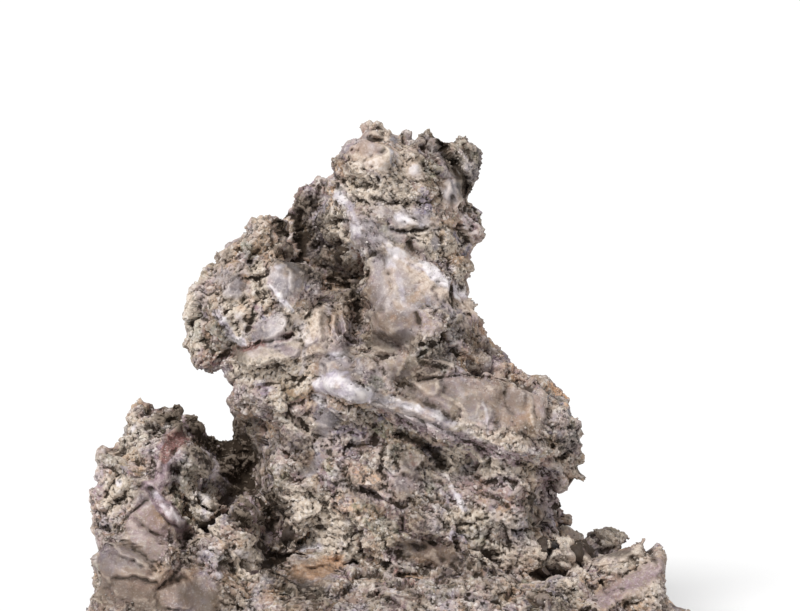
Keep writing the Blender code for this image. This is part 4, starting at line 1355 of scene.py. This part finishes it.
    def _lay(
        self,
        tree: bpy.types.NodeTree,
        under: bpy.types.NodeSocket | tuple[float, float, float, float],
        layers: tuple[Layer, ...],
        values: Values,
        faint: float = 1.0,
    ) -> bpy.types.NodeSocket:
        """Lays colours over one another.

        Args:
            tree: The material's nodes.
            under: The colour that lies under them all.
            layers: The colours, from the lowest up.
            values: The values that say where they lie.
            faint: The share of each that is laid.

        Returns:
            The colour that shows.
        """
        for layer in layers:
            span = {"i1": layer.low, "i2": layer.high, "i3": 0.0, "i4": layer.most * faint}
            share = add_node(tree, "MapRange", SOFTLY, i0=values[layer.value], **span).outputs[0]
            if layer.within:
                inside = values[layer.within]
                share = add_node(tree, "Math", {"operation": "MULTIPLY"}, i0=share, i1=inside).outputs[0]
            mixing = COLOURS | {"blend_type": layer.blend}
            under = add_node(tree, "Mix", mixing, i0=share, i6=under, i7=linear(layer.colour)).outputs[2]
        return under

    def _weld(
        self, tree: bpy.types.NodeTree, place: bpy.types.NodeSocket, stone: bpy.types.NodeSocket
    ) -> bpy.types.NodeSocket:
        """Lays in the broken pieces, each with a tint and a tone of its own.

        Args:
            tree: The material's nodes.
            place: The place on the stone.
            stone: The stone that they lie in.

        Returns:
            The stone with its pieces.
        """
        for wide, stray, tint, tone in self.pieces:
            wander = add_node(tree, "TexNoise", None, Vector=place, Scale=400.0).outputs["Color"]
            shift = add_node(tree, "VectorMath", {"operation": "SCALE"}, i0=wander, Scale=stray).outputs[0]
            moved = add_node(tree, "VectorMath", {"operation": "ADD"}, i0=place, i1=shift).outputs[0]
            piece = add_node(tree, "TexVoronoi", None, Vector=moved, Scale=1 / (wide * MM)).outputs["Color"]
            parted = add_node(tree, "SeparateColor", None, i0=piece)
            values = dict(zip(("red", "green", "blue"), parted.outputs[:3]))
            stone = self._lay(tree, stone, self.piece_tints, values, tint)
            stone = self._lay(tree, stone, self.piece_tones, values, tone)
        return stone

    def _mineralise(
        self, tree: bpy.types.NodeTree, stone: bpy.types.NodeSocket, values: Values
    ) -> bpy.types.NodeSocket:
        """Lays each mineral where the mesh holds it, with a frayed border.

        Args:
            tree: The material's nodes.
            stone: The stone that they lie on.
            values: The values that say where they lie.

        Returns:
            The stone with its minerals.
        """
        for mineral, thick, thin in self.minerals:
            silica = mineral in SILICA
            cloud = values["middle" if silica else "fine"]
            share = add_node(tree, "MapRange", SOFTLY, i0=cloud, i1=0.35, i2=0.62, i3=0.0, i4=1.0).outputs[0]
            tints = {"i6": linear(thin), "i7": linear(thick)}
            own = add_node(tree, "Mix", COLOURS, i0=share, **tints).outputs[2]
            frayed = {"i0": values["fray"], "i1": 0.45 if silica else 1.0, "i2": values[mineral.value]}
            amount = add_node(tree, "Math", {"operation": "MULTIPLY_ADD"}, **frayed).outputs[0]
            share = add_node(tree, "MapRange", SOFTLY, i0=amount, i1=0.15, i2=0.95, i3=0.0, i4=0.92).outputs[0]
            stone = add_node(tree, "Mix", COLOURS, i0=share, i6=stone, i7=own).outputs[2]
        return stone


# Meshes.


def mesh_points(data: bpy.types.Mesh) -> np.ndarray:
    """The mesh's vertices, in millimetres."""
    flat = np.empty(len(data.vertices) * 3, np.float32)
    data.vertices.foreach_get("co", flat)
    return flat.reshape(-1, 3).astype(float) / MM


def mesh_normals(data: bpy.types.Mesh) -> np.ndarray:
    """The mesh's vertex normals."""
    flat = np.empty(len(data.vertices) * 3, np.float32)
    data.vertex_normals.foreach_get("vector", flat)
    return flat.reshape(-1, 3).astype(float)


def move_to(data: bpy.types.Mesh, points: np.ndarray) -> None:
    """Moves the mesh's vertices to these places, in millimetres."""
    data.vertices.foreach_set("co", (points * MM).astype(np.float32).ravel())
    data.update()


def mesh_edges(data: bpy.types.Mesh) -> np.ndarray:
    """The two vertices of each edge."""
    flat = np.empty(len(data.edges) * 2, np.int32)
    data.edges.foreach_get("vertices", flat)
    return flat.reshape(-1, 2)


def relaxed(points: np.ndarray, edges: np.ndarray, passes: int) -> np.ndarray:
    """The points, each moved halfway to its neighbours' middle, over and over.

    Args:
        points: Places.
        edges: The two points of each edge.
        passes: How often.

    Returns:
        The new places.
    """
    count = len(points)
    many = np.bincount(edges.ravel(), minlength=count).clip(1)[:, None]
    for _ in range(passes):
        total = np.stack(
            [
                np.bincount(edges[:, 0], points[edges[:, 1], axis], count)
                + np.bincount(edges[:, 1], points[edges[:, 0], axis], count)
                for axis in range(3)
            ],
            axis=1,
        )
        points = 0.5 * points + 0.5 * total / many
    return points


def mesh_triangles(data: bpy.types.Mesh) -> np.ndarray:
    """The three vertices of each triangle."""
    data.calc_loop_triangles()
    flat = np.empty(len(data.loop_triangles) * 3, np.int32)
    data.loop_triangles.foreach_get("vertices", flat)
    return flat.reshape(-1, 3)


def triangle_mesh(name: str, points: np.ndarray, triangles: np.ndarray) -> bpy.types.Mesh:
    """Makes a mesh of triangles.

    Args:
        name: The mesh's name.
        points: The vertices, in millimetres.
        triangles: The three vertices of each triangle.

    Returns:
        The mesh.
    """
    data = bpy.data.meshes.new(name)
    data.vertices.add(len(points))
    data.vertices.foreach_set("co", (points * MM).astype(np.float32).ravel())
    data.loops.add(triangles.size)
    data.loops.foreach_set("vertex_index", triangles.astype(np.int32).ravel())
    data.polygons.add(len(triangles))
    data.polygons.foreach_set("loop_start", np.arange(0, triangles.size, 3, dtype=np.int32))
    data.update(calc_edges=True)
    return data


def place_piece(data: bpy.types.Mesh, node: str) -> bpy.types.Object:
    """Puts a mesh in the scene as a piece of the stone, and reports it.

    Args:
        data: The mesh.
        node: The solid that it stands for.

    Returns:
        The piece.
    """
    piece = bpy.data.objects.new(data.name, data)
    bpy.context.scene.collection.objects.link(piece)
    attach(piece, "root")
    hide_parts(node)
    LOG.info("%s: %d triangles", piece.name, sum(len(side.vertices) - 2 for side in data.polygons))
    return piece


def write_value(data: bpy.types.Mesh, name: str, values: np.ndarray) -> None:
    """Writes one value for each vertex to the mesh."""
    layer = data.attributes.new(name, "FLOAT", "POINT")
    layer.data.foreach_set("value", values.astype(np.float32))


def read_value(data: bpy.types.Mesh, name: str) -> np.ndarray:
    """Reads one value for each vertex of the mesh."""
    values = np.empty(len(data.vertices), np.float32)
    data.attributes[name].data.foreach_get("value", values)
    return values


def through_modifier(data: bpy.types.Mesh, kind: str, settings: dict) -> bpy.types.Mesh:
    """The mesh as one modifier leaves it.

    Args:
        data: The mesh, which is used up.
        kind: The modifier's type.
        settings: The modifier's settings.

    Returns:
        The new mesh.
    """
    holder = bpy.data.objects.new("holder", data)
    bpy.context.scene.collection.objects.link(holder)
    modifier = holder.modifiers.new(kind.title(), kind)
    for name, value in settings.items():
        setattr(modifier, name, value)
    graph = bpy.context.evaluated_depsgraph_get()
    made = bpy.data.meshes.new_from_object(holder.evaluated_get(graph))
    bpy.data.objects.remove(holder)
    bpy.data.meshes.remove(data)
    return made


# The rock.


@dataclass
class Crag:
    """The rock itself, broken down to its grain.

    Attributes:
        sight: The camera that the face is looked at with.
        material: What the stone is made of.
        node: The solid that the rock is grown from.
        voxel: How wide the mesh's faces are, in millimetres. Those that are looked at are half that.
        most_triangles: How many triangles a piece may have.
        block: How wide the blocks are that the masses break into, in millimetres.
        block_height: How far they stand out, in millimetres.
        block_crack: How deep the cracks between them are, in millimetres.
        chip: How wide the chips are that the blocks break into, in millimetres.
        chip_height: How far they stand out, in millimetres.
        chip_crack: How deep the cracks between them are, in millimetres.
        flake: How wide the flakes on the chips are, in millimetres.
        flake_height: How far they stand out, in millimetres.
        grit: How wide the grains in the flakes are, in millimetres.
        grit_height: How far they stand out, in millimetres.
        pit: How far apart the pits are, in millimetres.
        pit_depth: How deep they are, in millimetres.
        pores: How deep the pores between the grains are, in millimetres.
        crevices: How often the surface is relaxed before it is held against itself, and how deep a place
            then lies that is wholly sunk, in millimetres, for three sizes of crevice.
    """

    sight: Sight
    material: bpy.types.Material
    node: str = "rock"
    voxel: float = 0.67
    most_triangles: int = 195_000
    block: float = 9.0
    block_height: float = 1.9
    block_crack: float = 0.3
    chip: float = 4.2
    chip_height: float = 0.62
    chip_crack: float = 0.05
    flake: float = 2.0
    flake_height: float = 0.28
    grit: float = 0.8
    grit_height: float = 0.19
    pit: float = 4.0
    pit_depth: float = 1.0
    pores: float = 0.4
    crevices: tuple[tuple[int, float], ...] = ((4, 0.15), (16, 0.40), (60, 0.65))

    def build(self) -> list[bpy.types.Object]:
        """Makes the rock's detailed mesh, dresses it and parts it into pieces.

        Returns:
            The pieces.
        """
        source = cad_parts[self.node].data.copy()
        source.materials.clear()
        data = through_modifier(source, "REMESH", {"mode": "VOXEL", "voxel_size": self.voxel * MM})
        move_to(data, relaxed(mesh_points(data), mesh_edges(data), 6))
        move_to(data, relaxed(self._fill(self._nudge(mesh_points(data))), mesh_edges(data), 3))
        self._refine(data)
        self._break_to_blocks(data)
        self._break_to_grain(data)
        self._mark(data)
        return self._part(data)

    def _refine(self, data: bpy.types.Mesh) -> None:
        """Halves the faces of the side that is looked at."""
        face = Face(self.sight, mesh_points(data), mesh_normals(data))
        chosen = set(np.flatnonzero(face.seen > LOOKED_AT).tolist())
        work = bmesh.new()
        work.from_mesh(data)
        edges = [edge for edge in work.edges if chosen.issuperset(corner.index for corner in edge.verts)]
        bmesh.ops.subdivide_edges(work, edges=edges, cuts=1, use_grid_fill=True)
        bmesh.ops.triangulate(work, faces=[side for side in work.faces if len(side.verts) > 4])
        work.to_mesh(data)
        work.free()
        move_to(data, relaxed(mesh_points(data), mesh_edges(data), 2))
        LOG.info("refined: %d vertices", len(data.vertices))

    def _break_to_blocks(self, data: bpy.types.Mesh) -> None:
        """Breaks the masses into blocks and chips, then cuts the flat faces, cracks and pits that show."""
        points = mesh_points(data)
        normals = mesh_normals(data)
        calm = self._smoothness(Face(self.sight, points, normals))
        warp = bend(points, 14.0, 3.0, 1) + bend(points, 4.0, 0.5, 2)
        rough = 1.0 - 0.92 * calm
        moved = np.zeros(len(points))
        for run, share in self._runs(points):
            at = along_layers(points + warp, run)
            blocks = broken(at, self.block, 4, self.block_height, self.block_crack)
            moved += share * blocks * (1.0 - 0.8 * calm)
            moved += share * broken(at, self.chip, 5, self.chip_height, self.chip_crack) * rough
        hollow = ramp(layered_noise(points + warp, self.pit, 7), 0.5, 0.8)
        moved -= self.pit_depth * hollow * rough
        moved += 0.6 * layered_noise(points, 8.0, 15, 3) * calm - 0.15
        points = points + normals * moved[:, None]
        edges = mesh_edges(data)
        points += 0.9 * calm[:, None] * (relaxed(points, edges, 30) - points)
        points[:, 2] = np.maximum(points[:, 2], 0.0)
        move_to(data, points)
        points = self._cut(Face(self.sight, points, mesh_normals(data)))
        points += 0.8 * calm[:, None] * (relaxed(points, edges, 5) - points)
        move_to(data, points)

    def _runs(self, points: np.ndarray) -> tuple[tuple[float, np.ndarray], ...]:
        """Which way the stone's layers run: up to the right in the shoulder, and down to the right elsewhere.

        Args:
            points: Places, in millimetres.

        Returns:
            Each run, in degrees, and how far each place follows it, from 0 to 1.
        """
        spots = self.sight.see(points)[0]
        rising = (1.0 - ramp(spots[:, 0], 290, 345)) * (1.0 - ramp(spots[:, 1], 400, 430))
        rising = ramp(rising + 0.4 * soft_noise(points, 10.0, 71), 0.35, 0.65)
        return (38.0, rising), (-28.0, 1.0 - rising)

    def _nudge(self, points: np.ndarray) -> np.ndarray:
        """Pushes the rock's edge to where it is seen."""
        right, up, _ = self.sight.axes()
        spots = self.sight.see(points)[0]
        shift = np.zeros_like(spots)
        for nudge in NUDGES:
            away = np.hypot(*(spots - np.array(nudge.at)).T)
            shift += (1.0 - ramp(away, 0.25 * nudge.reach, 1.1 * nudge.reach))[:, None] * np.array(nudge.push)
        return points + PIXEL * (shift[:, :1] * right - shift[:, 1:] * up)

    def _fill(self, points: np.ndarray) -> np.ndarray:
        """Brings the floors of the deepest gaps forward."""
        forward = self.sight.axes()[2]
        for gap in FILLS:
            spots, depth = self.sight.see(points)
            past = depth - self.sight.distance - gap.front
            away = np.hypot(*((spots - np.array(gap.at)) / np.array(gap.half)).T)
            share = (1.0 - ramp(away, 0.7, 1.25)) * (past > 0.0) * (past < 36.0)
            points = points - forward * (past * (1.0 - gap.left) * share)[:, None]
        return points

    def _cut(self, face: Face) -> np.ndarray:
        """Cuts the planes and strokes into the face.

        Args:
            face: The mesh as it is seen.

        Returns:
            The new places of its vertices.
        """
        forward = self.sight.axes()[2]
        push = np.zeros(len(face.points))
        for plane in PLANES:
            push += self._plane_push(face, plane, push)
        for stroke in STROKES:
            near, away = face.away_from(stroke.path, stroke.wide * 2.2)
            away = away * (1.0 + 0.4 * soft_noise(face.points[near], 1.8, 91))
            share = 1.0 - ramp(away, stroke.wide * 0.2, stroke.wide * 1.5)
            uneven = np.clip(0.85 + 0.9 * soft_noise(face.points[near], 4.0, 93), 0.15, 1.6)
            push[near] += stroke.deep * share * uneven * face.seen[near]
        return face.points + forward * push[:, None]

    def _plane_push(self, face: Face, plane: Plane, push: np.ndarray) -> np.ndarray:
        """How far each vertex moves back to lie on a flat face.

        Args:
            face: The mesh as it is seen.
            plane: The flat face.
            push: How far back each vertex is moved already.

        Returns:
            How much further back it moves.
        """
        turn = math.radians(plane.turn)
        away = face.pixels - np.array(plane.at)
        reach = max(plane.half) * 1.5
        near = np.flatnonzero((np.abs(away) < reach).all(axis=1) & (face.seen > 0.01))
        more = np.zeros(len(push))
        if len(near) == 0:
            return more
        away = away[near] + 2.2 * (face.drawn - face.pixels)[near]
        along = away[:, 0] * math.cos(turn) - away[:, 1] * math.sin(turn)
        across = away[:, 0] * math.sin(turn) + away[:, 1] * math.cos(turn)
        far = np.maximum(np.abs(along) / plane.half[0], np.abs(across) / plane.half[1])
        round_off = np.hypot(along / plane.half[0], across / plane.half[1]) / 1.2
        share = (1.0 - ramp(np.maximum(far, round_off), 0.85, 1.0)) * face.seen[near]
        depth = face.depth[near] + push[near]
        level = (depth * share).sum() / max(share.sum(), 0.001) - plane.lift
        wanted = level + plane.lean[0] * away[:, 0] - plane.lean[1] * away[:, 1]
        more[near] = np.clip(wanted - depth, -3.0, 3.0) * share * plane.hold
        return more

    def _smoothness(self, face: Face) -> np.ndarray:
        """How smooth the stone is at each vertex, from 0 to 1."""
        calm = np.zeros(len(face.points))
        for mineral, most in SMOOTHNESS.items():
            for mark in MARKS[mineral]:
                near, away = face.away_from(mark.path, mark.wide * 2.0)
                share = mark.strength * (1.0 - ramp(away, mark.wide * 0.6, mark.wide * 1.35))
                calm[near] = np.maximum(calm[near], most * share * face.seen[near])
        patch = ramp(soft_noise(face.points, 18.0, 31), 0.25, 0.5) * (1.0 - face.seen)
        return np.clip(np.maximum(calm, patch), 0.0, 1.0)

    def _break_to_grain(self, data: bpy.types.Mesh) -> None:
        """Breaks the surface into flakes and grit."""
        points = relaxed(mesh_points(data), mesh_edges(data), 1)
        move_to(data, points)
        normals = mesh_normals(data)
        face = Face(self.sight, points, normals)
        rough = (1.0 - 0.85 * self._smoothness(face)) * (0.6 + 0.4 * face.seen)
        warp = bend(points, 3.0, 0.5, 11)
        moved = broken(points, self.grit, 13, self.grit_height)
        moved -= self.pores * ramp(layered_noise(points, 1.7, 17, 2), 0.3, 0.7)
        for run, share in self._runs(points):
            moved += share * broken(along_layers(points + warp, run), self.flake, 12, self.flake_height)
        points = points + normals * (moved * rough)[:, None]
        points[:, 2] = np.maximum(points[:, 2], 0.0)
        move_to(data, points)

    def _mark(self, data: bpy.types.Mesh) -> None:
        """Writes to each vertex which minerals lie there, and how deep in a crevice it is."""
        points = mesh_points(data)
        normals = mesh_normals(data)
        edges = mesh_edges(data)
        face = Face(self.sight, points, normals)
        wobble = soft_noise(points, 4.0, 21) + 0.6 * soft_noise(points, 1.6, 22)
        cloud = soft_noise(points, 3.4, 23) + 0.5 * soft_noise(points, 1.5, 24)
        held = {mineral: np.zeros(len(points)) for mineral in Mineral}
        for mineral, mark in ((mineral, mark) for mineral, marks in MARKS.items() for mark in marks):
            near, away = face.away_from(mark.path, mark.wide * 2.5)
            away = away * np.maximum(1.0 + 0.45 * wobble[near], 0.2)
            fade = mark.wide * mark.feather
            share = mark.strength * (1.0 - ramp(away, mark.wide - fade, mark.wide + fade))
            if mineral in SILICA:
                share = share * np.clip(0.9 + 0.8 * cloud[near], 0.3, 1.15)
            held[mineral][near] = np.maximum(held[mineral][near], share * face.seen[near])
        behind = np.flatnonzero(face.seen < 0.9)
        for number, mineral in enumerate(Mineral):
            if mineral is Mineral.SHADE:
                continue
            patch = ramp(soft_noise(points[behind], 13.0, 40 + number), 0.3, 0.7) * 0.85
            held[mineral][behind] = np.maximum(held[mineral][behind], patch * (1.0 - face.seen[behind]))
        # How sunk each vertex is; the material darkens it by this, partly as the crevices' dirt and partly as
        # painted shade.
        sunk = np.zeros(len(points))
        blurred = points
        for passes, depth in self.crevices:
            blurred = relaxed(blurred, edges, passes)
            sunk += ((blurred - points) * normals).sum(axis=1) / depth
        write_value(data, "crevice", np.clip(sunk / len(self.crevices), -1.0, 1.0))
        for mineral, values in held.items():
            write_value(data, mineral.value, values)
        write_value(data, "tone", np.full(len(points), 0.5))
        write_value(data, "seen", face.seen)

    def _part(self, data: bpy.types.Mesh) -> list[bpy.types.Object]:
        """Parts the mesh into pieces of few enough triangles, which meet edge to edge.

        Args:
            data: The whole mesh.

        Returns:
            The pieces, from the top down, and then the back.
        """
        points = mesh_points(data)
        normals = mesh_normals(data)
        triangles = mesh_triangles(data)
        middles = points[triangles].mean(axis=1)
        seen = read_value(data, "seen")[triangles].max(axis=1) > LOOKED_AT
        pieces = []
        for side, chosen in (("front", np.flatnonzero(seen)), ("back", np.flatnonzero(~seen))):
            parts = math.ceil(len(chosen) / self.most_triangles)
            order = chosen[np.argsort(-middles[chosen, 2], kind="stable")]
            for number, share in enumerate(np.array_split(order, parts)):
                name = f"rock_{side}_{number + 1}"
                used, corners = np.unique(triangles[share].ravel(), return_inverse=True)
                piece = triangle_mesh(name, points[used], corners.reshape(-1, 3))
                for layer in (*HELD, "tone", "seen"):
                    write_value(piece, layer, read_value(data, layer)[used])
                piece.shade_smooth()
                piece.normals_split_custom_set_from_vertices(normals[used].astype(np.float32))
                piece.materials.append(self.material)
                pieces.append(place_piece(piece, self.node))
        bpy.data.meshes.remove(data)
        return pieces


@dataclass
class Grit:
    """Crystal grains and crumbs that stand out of the rough stone.

    Attributes:
        body: The piece that they stand out of.
        name: The piece's name.
        seed: Chooses where the grains lie.
        grains: How many there are, each of eight triangles.
        small: The least radius, in millimetres.
        large: The greatest radius, in millimetres.
        node: The solid that the rock is grown from.
    """

    body: bpy.types.Object
    name: str
    seed: int
    grains: int = 5_000
    small: float = 0.12
    large: float = 0.5
    node: str = "rock"

    def build(self) -> bpy.types.Object:
        """Scatters the grains over the body.

        Returns:
            The piece.
        """
        rng = np.random.default_rng(self.seed)
        chosen = self._choose(rng)
        source = self.body.data
        corners = mesh_triangles(source)[chosen]
        points = mesh_points(source)[corners]
        normals = mesh_normals(source)[corners].mean(axis=1)
        share = rng.dirichlet((1.0, 1.0, 1.0), self.grains)
        middles = (points * share[:, :, None]).sum(axis=1)
        radius = self.small + (self.large - self.small) * rng.random(self.grains) ** 3
        middles += normals * (radius * 0.25)[:, None]
        spin = np.linalg.qr(rng.normal(size=(self.grains, 3, 3)))[0]
        tips = np.array(((1, 0, 0), (-1, 0, 0), (0, 1, 0), (0, -1, 0), (0, 0, 1), (0, 0, -1)), float)
        stretch = rng.uniform(0.65, 1.35, (self.grains, 6))
        local = tips[None] * (stretch * radius[:, None])[:, :, None]
        places = middles[:, None] + np.einsum("gij,gkj->gki", spin, local)
        places[..., 2] = np.maximum(places[..., 2], 0.0)
        round_tip = ((0, 2), (2, 1), (1, 3), (3, 0))
        sides = np.array([(a, b, 4) for a, b in round_tip] + [(b, a, 5) for a, b in round_tip])
        flip = np.linalg.det(spin) < 0
        faces = sides[None] + 6 * np.arange(self.grains)[:, None, None]
        faces[flip] = faces[flip][..., ::-1]
        data = triangle_mesh(self.name, places.reshape(-1, 3), faces.reshape(-1, 3))
        data.materials.append(source.materials[0])
        for name in HELD:
            held = read_value(source, name)[corners[:, 0]]
            if name == "crevice":
                held = held - 0.15
            write_value(data, name, np.repeat(held, 6))
        write_value(data, "tone", np.repeat(rng.random(self.grains), 6))
        return place_piece(data, self.node)

    def _choose(self, rng: np.random.Generator) -> np.ndarray:
        """Picks the body's triangles that the grains lie on: rough and crumbly ones, mostly those seen.

        Args:
            rng: Where the chances come from.

        Returns:
            The number of one triangle for each grain.
        """
        source = self.body.data
        corners = mesh_triangles(source)
        points = mesh_points(source)[corners]
        area = np.linalg.norm(np.cross(points[:, 1] - points[:, 0], points[:, 2] - points[:, 0]), axis=1)
        seen = read_value(source, "seen")[corners].mean(axis=1)
        smooth = read_value(source, "smooth")[corners].mean(axis=1)
        crumbly = ramp(soft_noise(points[:, 0], 9.0, 61), -0.15, 0.45)
        rough = np.clip(1.0 - 1.15 * smooth, 0.0, 1.0)
        weights = area * (0.16 + 0.84 * seen) * rough * (0.15 + 0.85 * crumbly)
        weights = weights * (points[:, :, 2].min(axis=1) > 0.6)
        return rng.choice(len(corners), self.grains, p=weights / weights.sum())


# The studio.


@dataclass
class Studio:
    """A pale floor under soft light.

    Attributes:
        floor_size: How long each side of the floor is, in metres.
        floor_colour: The floor's colour, as six hex digits.
        world_strength: How bright the light from all round is.
        key_strength: How bright the light from one side is.
        key_spread: How wide that light is, in degrees, which softens its shadows.
        key_from: Where it comes from.
    """

    floor_size: float = 12.0
    floor_colour: str = "fbfbfb"
    world_strength: float = 0.53
    key_strength: float = 2.6
    key_spread: float = 22.0
    key_from: tuple[float, float, float] = (-0.55, -0.85, 1.0)

    def build(self) -> None:
        """Makes the floor and the lights."""
        scene = bpy.context.scene
        scene.view_settings.view_transform = "Standard"
        data = bpy.data.meshes.new("floor")
        half = self.floor_size / 2
        corners = [(-half, -half, 0), (half, -half, 0), (half, half, 0), (-half, half, 0)]
        data.from_pydata(corners, [], [(0, 1, 2, 3)])
        # Uncoated paper, which shows the eye an even white with no shine.
        material = bpy.data.materials.new("matt_white_paper")
        material.use_nodes = True
        shader = material.node_tree.nodes["Principled BSDF"]
        shader.inputs["Base Color"].default_value = linear(self.floor_colour)
        shader.inputs["Roughness"].default_value = 1.0
        shader.inputs["Specular IOR Level"].default_value = 0.0
        data.materials.append(material)
        floor = bpy.data.objects.new("floor", data)
        scene.collection.objects.link(floor)
        world = bpy.data.worlds.new("studio")
        world.use_nodes = True
        world.node_tree.nodes["Background"].inputs["Color"].default_value = (1.0, 1.0, 1.0, 1.0)
        world.node_tree.nodes["Background"].inputs["Strength"].default_value = self.world_strength
        scene.world = world
        key = bpy.data.lights.new("key", "SUN")
        key.energy = self.key_strength
        key.angle = math.radians(self.key_spread)
        lamp = bpy.data.objects.new("key", key)
        lamp.rotation_euler = (-Vector(self.key_from)).to_track_quat("-Z", "Y").to_euler()
        scene.collection.objects.link(lamp)


def main() -> None:
    """Builds the studio, the camera and the rock, and reports each piece."""
    logging.basicConfig(level=logging.INFO, format="%(message)s")
    sight = Sight()
    sight.build()
    Studio().build()
    bodies = Crag(sight, TuffFinish().build()).build()
    for number, body in enumerate(bodies):
        if "front" in body.name:
            Grit(body, f"grit_{number + 1}", 50 + number).build()


if __name__ == "__main__":
    main()
